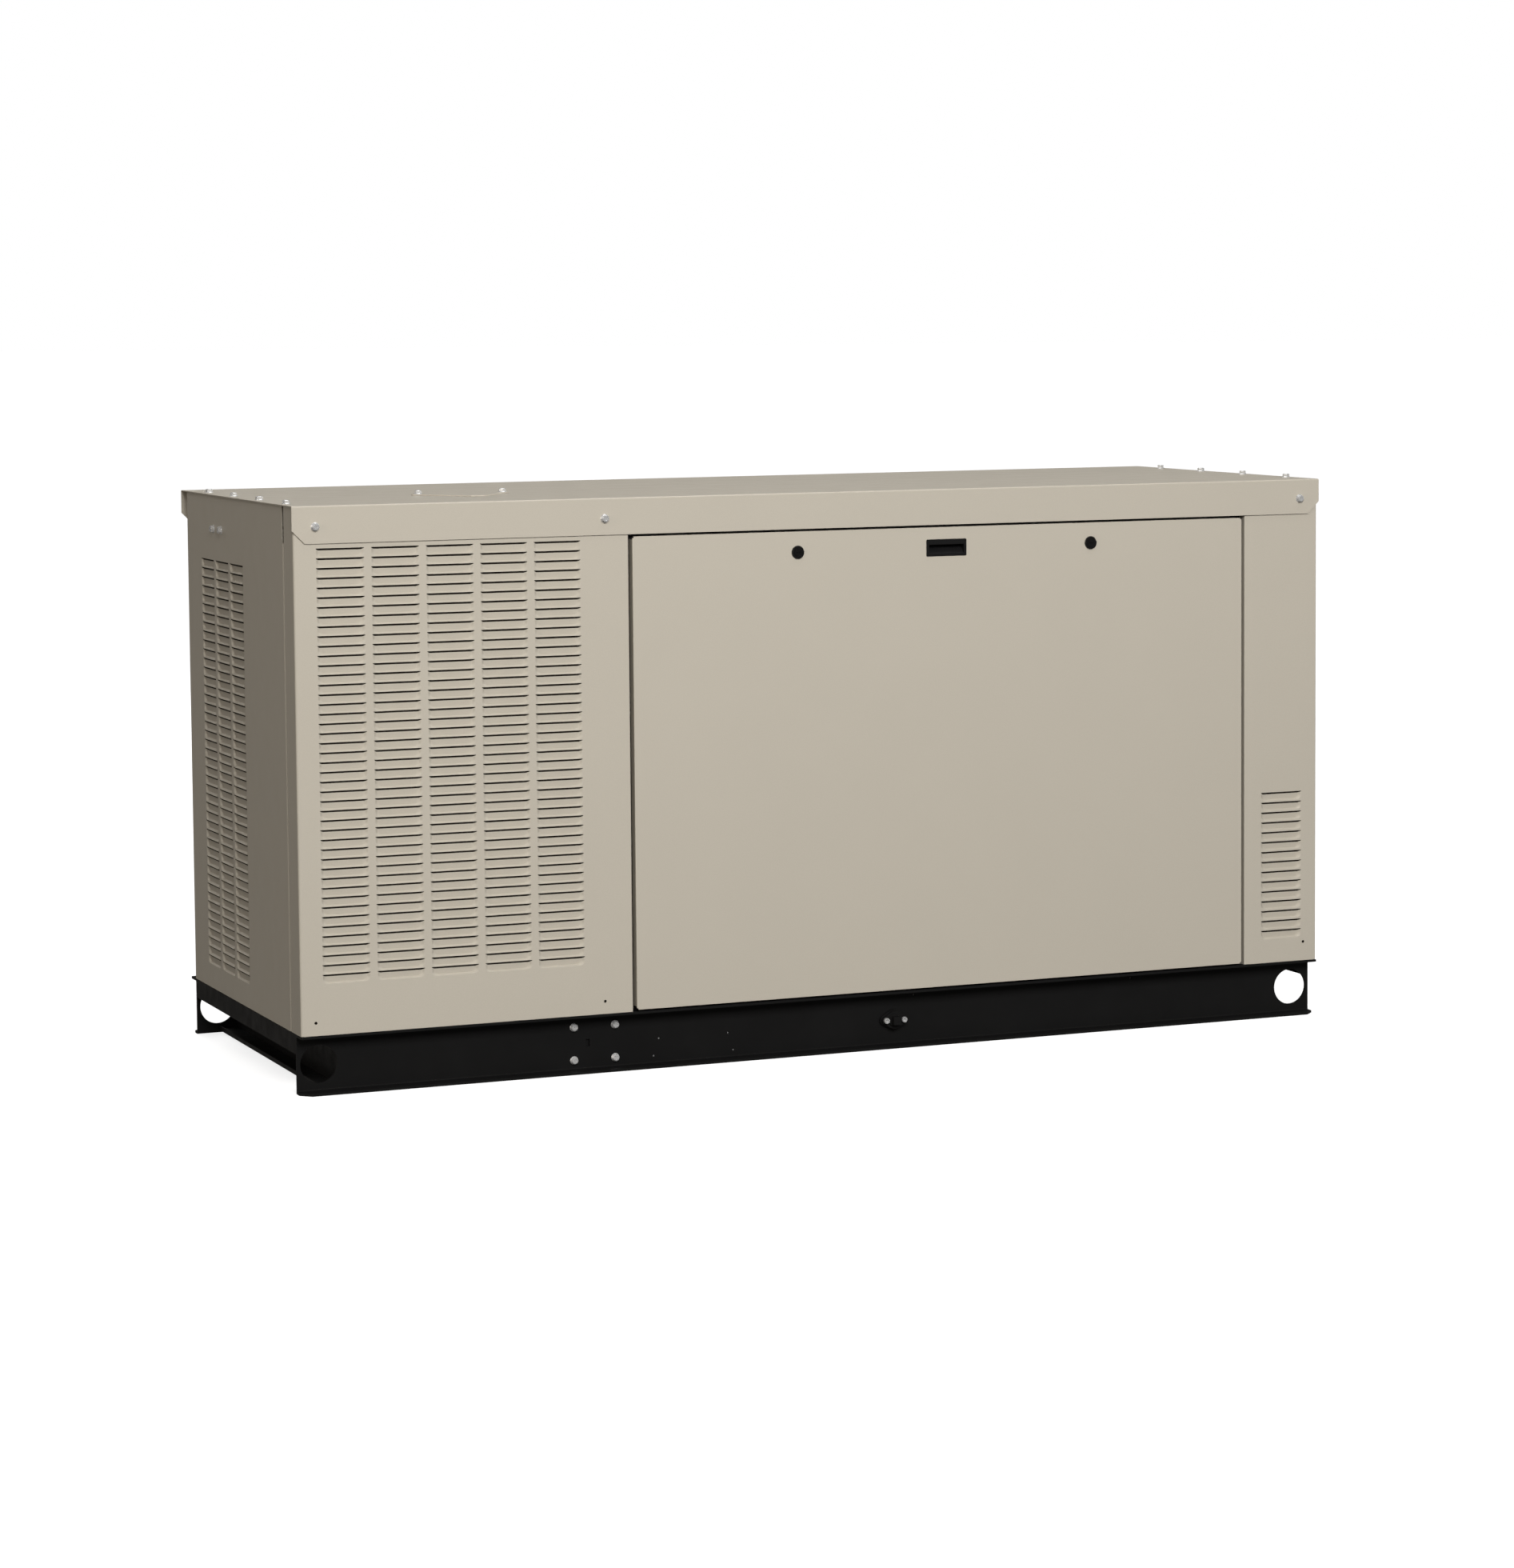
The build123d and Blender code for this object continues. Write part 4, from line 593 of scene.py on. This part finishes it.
def louvred_sheet(name, plan, face_axis, centres, rows, pitch_tops, z0, z1, body, replaces, holes=(), thick=1.6,
                  z_extra=(), relief=None):
    """plan: outer outline points in plan (mm), outward side on the right of travel.
    face_axis: 0 if the louvred face runs along X, 1 along Y. centres/rows: louvre columns and slit heights."""
    # stations along the plan: the louvred face gets a line at every louvre's shape stations
    face_coord = []
    pts = [Vector((p[0], p[1])) for p in plan]
    lens = [(pts[i + 1] - pts[i]).length for i in range(len(pts) - 1)]
    k = max(range(len(lens)), key=lambda i: lens[i])
    a, b = pts[k], pts[k + 1]
    st = []
    for c in centres:
        st += [c + u for u in U_ST]
    for h in holes:
        st += [h[0] - 2.2 * h[2], h[0] + 2.2 * h[2]]
    lo, hi = min(a[face_axis], b[face_axis]), max(a[face_axis], b[face_axis])
    st = sorted(s for s in set(round(s, 3) for s in st) if lo + 0.5 < s < hi - 0.5)
    if b[face_axis] < a[face_axis]:
        st.reverse()
    mid = []
    for s in st:
        t = (s - a[face_axis]) / (b[face_axis] - a[face_axis])
        mid.append(a + (b - a) * t)
    full = pts[:k + 1] + mid + pts[k + 1:]
    i0, i1 = k, k + 1 + len(mid)
    norms = []
    for i in range(len(full)):
        ds = []
        if i > 0:
            ds.append((full[i] - full[i - 1]).normalized())
        if i < len(full) - 1:
            ds.append((full[i + 1] - full[i]).normalized())
        d = sum(ds, Vector((0, 0))).normalized()
        norms.append(Vector((d.y, -d.x)))
    zs = [z0, z1] + list(z_extra)
    for r in rows:
        zs += [r + v for v in V_ST]
    for h in holes:
        zs += [h[1] - 2.2 * h[2], h[1] + 2.2 * h[2]]
    zs = sorted(set(round(z, 3) for z in zs if z0 <= z <= z1))
    # drop lines closer than 0.05 mm
    zz = [zs[0]]
    for z in zs[1:]:
        if z - zz[-1] > 0.05:
            zz.append(z)
    zs = zz
    rows_s = sorted(rows)
    import bisect
    verts = []
    for i, p in enumerate(full):
        on = i0 <= i <= i1
        c = p[face_axis]
        near = min(centres, key=lambda q: abs(q - c)) if centres else None
        for z in zs:
            d = 0.0
            if on and centres and abs(c - near) < HALF:
                j = bisect.bisect_left(rows_s, z - 1.75)
                if j < len(rows_s):
                    d = pocket_depth(c - near, z - rows_s[j])
            q = p - norms[i] * d
            lift = 0.0
            if on and centres and abs(c - near) < HALF + 0.01:
                j = bisect.bisect_left(rows_s, z + 1.6)
                if j < len(rows_s) and abs(z - rows_s[j] + 1.7) < 0.02:
                    lift = slit_taper(c - near)
            verts.append(Vector((q.x, q.y, z + lift)) * MM)
    nz = len(zs)
    faces = []
    for i in range(len(full) - 1):
        on = i0 <= i < i1
        cm = (full[i][face_axis] + full[i + 1][face_axis]) / 2
        near = min(centres, key=lambda q: abs(q - cm)) if centres else None
        slit_col = on and centres and abs(cm - near) < HALF - 0.01
        for j in range(nz - 1):
            zm = (zs[j] + zs[j + 1]) / 2
            if relief and zm > relief[2]:
                if (relief[0] == "end" and i >= len(full) - 1 - relief[1]) or (relief[0] == "start" and i < relief[1]):
                    continue
            if slit_col:
                kk = bisect.bisect_left(rows_s, zm)
                if any(0 <= q < len(rows_s) and abs(rows_s[q] - zm) < 1.65 for q in (kk - 1, kk)):
                    continue
            if on and any(abs(cm - h[0]) < 2.1 * h[2] and abs(zm - h[1]) < 2.1 * h[2] for h in holes):
                continue
            v00 = i * nz + j
            v10 = (i + 1) * nz + j
            faces.append((v00, v10, v10 + 1, v00 + 1))
    dark = set()
    # round holes: a ring inside each square window
    for h in holes:
        ii = sorted((i for i in range(i0, i1 + 1) if abs(abs(full[i][face_axis] - h[0]) - 2.2 * h[2]) < 0.02),
                    key=lambda i: i)
        jj = [j for j in range(nz) if abs(abs(zs[j] - h[1]) - 2.2 * h[2]) < 0.02]
        if len(ii) != 2 or len(jj) != 2:
            continue
        corners = [ii[0] * nz + jj[0], ii[1] * nz + jj[0], ii[1] * nz + jj[1], ii[0] * nz + jj[1]]
        base = len(verts)
        n = 16
        ctr = Vector((0, 0, h[1]))
        ctr[face_axis] = h[0]
        ctr[1 - face_axis] = full[ii[0]][1 - face_axis]
        along = Vector((0, 0, 0))
        along[face_axis] = 1.0 if full[ii[1]][face_axis] > full[ii[0]][face_axis] else -1.0
        for q in range(n):
            t = 2 * pi * q / n - 3 * pi / 4
            verts.append((ctr + along * (h[2] * cos(t)) + Vector((0, 0, h[2] * sin(t)))) * MM)
        for s in range(4):
            seg = [base + (s * n // 4 + q) % n for q in range(n // 4 + 1)]
            faces.append([corners[s], corners[(s + 1) % 4]] + list(reversed(seg)))
        # the cup behind each hole takes the near-black material as painted shade inside the hole
        cup = len(verts)
        inward = -norms[ii[0]]
        for q in range(n):
            verts.append(verts[base + q] + Vector((inward.x, inward.y, 0)) * (4.0 * MM))
        for q in range(n):
            faces.append((base + q, base + (q + 1) % n, cup + (q + 1) % n, cup + q))
            dark.add(len(faces) - 1)
        faces.append([cup + q for q in range(n)])
        dark.add(len(faces) - 1)
    # the pocket's upper edge runs on upwards behind the sheet, so the slit opens upwards and not straight in; these
    # lips take the near-black material as painted shade in the slit
    lips = set()
    for c in centres:
        cols = [i for i in range(i0, i1 + 1) if abs(full[i][face_axis] - c) < HALF + 0.01]
        for r in rows:
            j = min(range(nz), key=lambda q: abs(zs[q] - (r - 1.7)))
            base = len(verts)
            for i in cols:
                d = max(2.4, pocket_depth(full[i][face_axis] - c, -1.7) + 0.6)
                q = full[i] - norms[i] * d
                verts.append(Vector((q.x, q.y, r + 4.3)) * MM)
            for q in range(len(cols) - 1):
                faces.append((cols[q] * nz + j, cols[q + 1] * nz + j, base + q + 1, base + q))
                lips.add(len(faces) - 1)
    me = mesh_from(name, verts, faces, [1 if i in lips or i in dark else 0 for i in range(len(faces))])
    # lines with no faces on them are dropped before thickening
    bm = bmesh.new()
    bm.from_mesh(me)
    loose = [v for v in bm.verts if not v.link_faces]
    bmesh.ops.delete(bm, geom=loose, context="VERTS")
    bm.normal_update()
    bm.to_mesh(me)
    bm.free()
    me.materials.append(M["paint"])
    me.materials.append(M["inner"])
    o = bpy.data.objects.new(name, me)
    COL.objects.link(o)
    mod = o.modifiers.new("sheet", "SOLIDIFY")
    mod.thickness = thick * MM
    mod.offset = -1.0
    mod.use_even_offset = False
    mod.use_rim = True
    me = apply_modifiers(o)
    finish_mesh(me, 48.0)
    weigh(o)
    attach(o, body)
    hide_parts(*replaces)
    return o


FRONT_ROWS = [1073.2 - 19.0 * i for i in range(45)]
END_ROWS = [1021.0 - 19.0 * i for i in range(45)]
SMALL_ROWS = [485.7 - 21.32 * i for i in range(15)]
FRONT_COLS = [-1042.5 + 112.2 * i for i in range(5)]
REAR_COLS = [-790 + 112.2 * (i - 2) for i in range(5)]
END_COLS = [0.0, 111.0, 222.0]

# front left corner panel: return, rounded corner, louvred face, flange turned in by the door
R = 5.0
plan = ([(-BODY_X + 0.0, -350.0)] + arc(-BODY_X + R, FRONT_Y + R, R, 180, 270, 6)
        + arc(-442 - 2.5, FRONT_Y + 2.5, 2.5, 270, 360, 4) + [(-442.0, -392.0)])
# travel: down the return, round the corner, along +X: the outer side is on the right
louvred_sheet("front_louvre_sheet", plan, 0, FRONT_COLS, FRONT_ROWS, None, PZ0, PZ1, "root",
              ["front_louvre_panel"], holes=[(-1106.6, 145.0, 3.0), (-502.2, 145.0, 3.0)])

# front right corner panel
plan = ([(961.0, -392.0)] + arc(961 + 2.5, FRONT_Y + 2.5, 2.5, 180, 270, 4)
        + arc(BODY_X - R, FRONT_Y + R, R, 270, 360, 6) + [(BODY_X, -350.0)])
louvred_sheet("front_right_sheet", plan, 0, [1050.7], SMALL_ROWS, None, PZ0, PZ1, "root",
              ["front_right_panel"], holes=[(1105.0, 160.0, 3.0)])

# end panels
E0 = -344.5
RE = 5.0
plan = ([(-BODY_X + 22.0, REAR_Y)] + arc(-BODY_X + R, REAR_Y - R, R, 90, 180, 5)
        + arc(-BODY_X + RE, E0 + RE, RE, 180, 270, 8) + [(-BODY_X + 20.0, E0)])
louvred_sheet("left_end_sheet", plan, 1, END_COLS, END_ROWS, None, PZ0, ROOF_TOP - SHEET, "root",
              ["left_end_panel"], z_extra=(1084.0,), relief=("end", 9, 1084.0))
plan = ([(BODY_X - 20.0, E0)] + arc(BODY_X - RE, E0 + RE, RE, 270, 360, 8)
        + arc(BODY_X - R, REAR_Y - R, R, 0, 90, 5) + [(BODY_X - 22.0, REAR_Y)])
louvred_sheet("right_end_sheet", plan, 1, END_COLS, END_ROWS, None, PZ0, ROOF_TOP - SHEET, "root",
              ["right_end_panel"], z_extra=(1084.0,), relief=("start", 9, 1084.0))

# rear panels
plan = ([(-442.0, REAR_Y - 24.0)] + arc(-442 - 2.5, REAR_Y - 2.5, 2.5, 0, 90, 4)
        + [(-BODY_X + 23.0, REAR_Y)])
louvred_sheet("rear_louvre_sheet", plan, 0, REAR_COLS, FRONT_ROWS, None, PZ0, PZ1, "root",
              ["rear_louvre_panel"])
plan = ([(BODY_X - 23.0, REAR_Y)] + arc(-438 + 2.5, REAR_Y - 2.5, 2.5, 90, 180, 4) + [(-438.0, REAR_Y - 24.0)])
louvred_sheet("rear_service_sheet", plan, 0, [], [], None, PZ0, PZ1, "root", ["rear_service_panel"])

# ---------------------------------------------------------------------------
# Roof, door and skid: pressed and folded edges
# ---------------------------------------------------------------------------
refine("roof", "root", "paint", 0.5, 2)
refine("fill_cover_plate", "root", "paint", 0.7, 2)
refine("front_door", "front_door", "paint", 0.8, 3)
refine("door_pull", "front_door", "plastic", 0.5, 2)
refine("lock_housings", "front_door", "lock", 0.5, 2)
refine("latch_left", "latch_left", "lock", 0.3, 2)
refine("latch_right", "latch_right", "lock", 0.3, 2)
refine("door_seal", "front_door", "rubber", 0.9, 2)
refine("door_liner", "front_door", "foam", 3.0, 3)
refine("roof_liner", "root", "foam", 2.5, 3)
for n in ("skid_rail_front", "skid_rail_rear"):
    refine(n, "root", "black", 1.3, 3)
refine("base_cross_members", "root", "black", 1.2, 2)
refine("base_pan", "root", "galv", 0.4, 1)
# the near-black door frame is painted shade seen through the door gaps
refine("door_frame", "root", "frame_dark", 0.4, 1)


def clear_of_louvres(co):
    co.y = max(-0.405, min(0.375, co.y))


refine("radiator_bulkhead", "root", "paint", 0.4, 1, trim=clear_of_louvres)
refine("drain_flange", "root", "black", 0.8, 2)
refine("drain_plug", "root", "black", 0.9, 2)

# ---------------------------------------------------------------------------
# Fasteners
# ---------------------------------------------------------------------------


def hexr(theta):
    t = (theta % (pi / 3)) - pi / 6
    return 1.0 / cos(t)


def flange_bolt(bld, p, axis, af=13.0, flange=8.8, height=7.6, turn=0.0, mat=0):
    """Hexagon flange head: conical washer face, chamfered hexagon, shallow dish."""
    m = frame_at(p, axis) @ Matrix.Rotation(turn, 4, "Z")
    a = af / 2

    def shp(t, k):
        return hexr(t) if k in HEX else 1.0
    HEX = (4, 5)
    prof = [(flange, -0.2), (flange, 0.7), (flange * 0.94, 1.25), (a * 1.19, 1.75), (a, 2.1), (a, height - 1.35),
            (a * 1.06, height - 0.85), (a * 0.93, height - 0.15), (a * 0.86, height), (a * 0.58, height),
            (a * 0.50, height - 0.45)]
    bld.lathe(m, prof, seg=36, mat=mat, shape=shp)


BOLTS = ([((x, y, ROOF_TOP), (0, 0, 1)) for x in (-1120, 1120) for y in (-312, -120, 72, 264)]
         + [((x, -95.0, ROOF_TOP + 2.5), (0, 0, 1)) for x in (-779, -597)]
         + [((x, -418.0, 1118), (0, -1, 0)) for x in (-1093, -493, 1093)]
         + [((s * BODY_X, y, 1088), (s, 0, 0)) for s in (-1, 1) for y in (112, 172)]
         + [((x, REAR_Y, z), (0, 1, 0)) for x in (-404, -20, 400, 780) for z in (160, 1060)])
bld = Build()
for i, (p, ax) in enumerate(BOLTS):
    flange_bolt(bld, p, ax, turn=0.61 * i)
me = bld.mesh("enclosure_flange_bolts")
new_object("enclosure_flange_bolts", me, "root", "zinc", ["enclosure_bolts"], angle=30)

bld = Build()
for s in (-1, 1):
    for i, (dx, dz) in enumerate(((-44.25, -33.7), (-44.25, 33.7), (44.25, -33.7), (44.25, 33.7))):
        p = (-513.5 + dx, s * 380.0, 56.8 + dz)
        flange_bolt(bld, p, (0, s, 0), af=12.6, flange=8.6, height=7.4, turn=0.4 + 0.9 * i)
        # nut and bolt end on the inner side of the member's end plate
        q = (-513.5 + dx, s * 369.0, 56.8 + dz)
        m = frame_at(q, (0, -s, 0)) @ Matrix.Rotation(0.3 * i, 4, "Z")
        bld.lathe(m, [(8, -1.0), (8, 6.4), (7.4, 7.0)], seg=36, shape=lambda t, k: hexr(t) if k < 2 else 1.0)
        bld.lathe(m, [(4.9, 5.0), (4.9, 12.6), (4.2, 13.0)], seg=20)
    # the member's locating tab, seen through the slot between its four bolts
    bld.box(-513.5 - 2.3, -513.5 + 2.3, s * 376.5 - 1.5, s * 376.5 + 1.5, 56.8 - 7.5, 56.8 + 5.5)
    # plugs that close the unused small holes of the web
    for hx, hz in ((-385.0, 20.0), (-373.6, 55.0), (-221.5, 55.0), (-210.0, 19.0), (197.3, 103.0), (705.1, 103.0)):
        bld.lathe(frame_at((hx, s * 374.6, hz), (0, s, 0)), [(6.2, -2.4), (6.2, -0.4), (5.6, 0.0), (3.0, 0.3)], seg=20, mat=1)
for x in (128.0, 168.0):
    m = frame_at((x, -392.0, 55.5), (0, -1, 0))
    bld.lathe(m, [(6.0, -0.1), (6.0, 5.2), (5.4, 6.0), (3.4, 6.0), (2.9, 5.6)], seg=28, cap1=False)
    # painted shade: the hex socket inside each screw head is black
    bld.lathe(m, [(2.9, 5.6), (2.8, 2.6), (0.6, 2.4)], seg=28, mat=1, cap0=False,
              shape=lambda t, k: hexr(t) * 0.9 if k == 1 else 1.0)
me = bld.mesh("rail_bolts_and_nuts")
new_object("rail_bolts_and_nuts", me, "root", ["zinc", "black"], ["rail_fasteners"], angle=30)

# outward toes of the two full-height end channels, with a turned-up edge
bld = Build()
for s in (-1, 1):
    a, b = sorted((s * 1050.0, s * 1090.0))
    bld.box(a, b, -374.0, 374.0, 6.0, 11.0)
    a, b = sorted((s * 1086.0, s * 1090.0))
    bld.box(a, b, -374.0, 374.0, 11.0, 15.0)
me = bld.mesh("end_channel_toes")
new_object("end_channel_toes", me, "root", ["black"], [], angle=30)
# near-black rubber strip on the frame above the door's top edge, put in the gap as painted shade
bld = Build()
bld.box(-433.0, 952.0, -407.5, -399.0, 1081.4, 1084.9)
bld.box(-433.0, 952.0, -403.5, -399.0, 1084.9, 1086.5)
me = bld.mesh("door_top_gap_shade_strip")
new_object("door_top_gap_shade_strip", me, "root", ["rubber"], [], angle=30)

# ---------------------------------------------------------------------------
# Machinery inside
# ---------------------------------------------------------------------------
INSIDE = [
    ("radiator_tanks", "root", "gloss_black", "black_steel", 1.2),
    ("radiator_cap", "radiator_cap", "alu_machined", "cast_aluminium", 0.8),
    ("radiator_hoses", "root", "rubber", "rubber", 0.0),
    ("drain_hose", "root", "rubber", "rubber", 0.0),
    ("fan_shroud", "root", "plastic", "black_hardware", 0.6),
    ("cooling_fan", "fan", "plastic", "black_hardware", 0.9),
    ("water_pump", "root", "alu", "cast_aluminium", 1.2),
    ("engine_block", "root", "iron", "cast_iron", 2.0),
    ("cylinder_head", "root", "alu", "cast_aluminium", 1.8),
    ("valve_cover", "root", "gloss_black", "cast_aluminium", 1.4),
    ("oil_filler_cap", "oil_filler_cap", "plastic", "black_hardware", 0.8),
    ("oil_pan", "root", "gloss_black", "cast_aluminium", 1.4),
    ("oil_filter", "root", "gloss_black", "black_hardware", 0.8),
    ("intake_manifold", "root", "alu", "cast_aluminium", 2.0),
    ("exhaust_manifold", "root", "exhaust", "cast_iron", 2.0),
    ("air_cleaner", "root", "plastic", "black_hardware", 1.0),
    ("starter_motor", "root", "gloss_black", "black_steel", 1.2),
    ("crankshaft", "crank", "iron", "cast_iron", 0.7),
    ("flywheel_housing", "root", "iron", "cast_iron", 1.5),
    ("drive_belt", "root", "rubber", "rubber", 0.7),
    ("engine_feet", "root", "black", "frame_black", 1.0),
    ("vibration_mounts", "root", "rubber", "rubber", 0.8),
    ("generator_end_bell", "root", "iron", "cast_iron", 1.2),
    ("generator_rotor", "crank", "copper", "black_steel", 1.0),
    ("generator_stator", "root", "gloss_black", "black_steel", 1.5),
    ("silencer", "root", "aluminised", "aluminised_steel", 1.0),
    ("gas_line", "root", "yellow", "gas_pipe", 0.6),
    ("battery", "root", "battery", "battery_case", 1.5),
    ("control_box", "root", "gray", "control_paint", 1.2),
    ("mode_switch", "mode_switch", "plastic", "black_hardware", 0.5),
    ("main_breaker", "root", "plastic", "black_hardware", 1.0),
    ("breaker_toggle", "breaker_toggle", "plastic", "black_hardware", 0.8),
    ("dipstick", "dipstick", "zinc", "zinc", 0.0),
    ("radiator_core", "root", "fins", "cast_aluminium", 0.0),
]
for n, body, mat, slot, w in INSIDE:
    refine(n, body, mat, w, 2)

# ---------------------------------------------------------------------------
# Studio: pale floor, bright surround, soft lights
# ---------------------------------------------------------------------------


def stage_mesh(name, verts, faces, mat):
    me = mesh_from(name, verts, faces)
    o = bpy.data.objects.new(name, me)
    COL.objects.link(o)
    me.materials.append(mat)
    return o


k = Mat("pale_floor_painted_glow")
k.set(Roughness=0.9, Specular_IOR_Level=0.0)
k.color(k.ramp(k.noise(0.6, 3.0), [(0.3, (0.42, 0.42, 0.42)), (0.7, (0.43, 0.43, 0.43))]))
# painted light: the floor glows at 0.80 within 3 m of the middle and rises to full white at 12 m, standing in for
# studio light on the far floor
k.set(Emission_Color=(1, 1, 1, 1))
dist = k.node("ShaderNodeVectorMath")
dist.operation = "LENGTH"
k.link(k.tc, dist.inputs[0])
k.link(k.spread(dist.outputs["Value"], 0.80, 1.0, 3.0, 12.0), k.b.inputs["Emission Strength"])
FL = k.done()
S = 150.0
floor = stage_mesh("floor", [(-S, -S, 0), (S, -S, 0), (S, S, 0), (-S, S, 0)], [(0, 1, 2, 3)], FL)
floor.visible_diffuse = False
floor.visible_glossy = False

km = Mat("surround")
km.set(Base_Color=(0, 0, 0, 1), Specular_IOR_Level=0.0, Emission_Color=(1, 1, 1, 1), Emission_Strength=1.0)
SUR = km.done()
segs = 64
RV, HV = 149.0, 120.0
vs = [(RV * cos(2 * pi * i / segs), RV * sin(2 * pi * i / segs), z) for z in (-0.5, HV) for i in range(segs)]
fs = [(i, (i + 1) % segs, segs + (i + 1) % segs, segs + i) for i in range(segs)] + [tuple(range(segs, 2 * segs))]
wall = stage_mesh("surround", vs, fs, SUR)
for a in ("visible_diffuse", "visible_glossy", "visible_transmission", "visible_shadow"):
    setattr(wall, a, False)

world = bpy.data.worlds.new("studio")
SC.world = world
world.use_nodes = True
bg = world.node_tree.nodes["Background"]
bg.inputs["Color"].default_value = (1.0, 0.95, 0.88, 1.0)
bg.inputs["Strength"].default_value = 0.10


def area(name, loc, target, sx, sy, power, color=(1, 1, 1), glossy=True):
    ld = bpy.data.lights.new(name, "AREA")
    ld.shape = "RECTANGLE"
    ld.size, ld.size_y = sx, sy
    ld.energy = power
    ld.color = color
    o = bpy.data.objects.new(name, ld)
    d = (Vector(target) - Vector(loc)).normalized()
    o.rotation_euler = d.to_track_quat("-Z", "Y").to_euler()
    o.location = loc
    o.visible_glossy = glossy
    COL.objects.link(o)
    return o


area("key_front", (-0.9, -8.3, 5.0), (0.1, 0, 0.65), 6.0, 3.5, 840.0, (1.0, 0.985, 0.96), glossy=False)
area("top", (0.2, 0.0, 5.5), (0, 0, 1.0), 4.5, 3.0, 86.0)
area("left_strip", (-6.9, -2.9, 2.4), (-1.0, -0.3, 0.8), 0.55, 3.2, 62.0, (1.0, 0.89, 0.76))
area("right_side", (7.5, 0.9, 3.0), (1.0, 0, 0.6), 3.0, 3.0, 170.0, glossy=False)
area("rear", (-1.5, 7.5, 3.6), (0, 0.3, 0.6), 5.0, 3.0, 330.0, glossy=False)
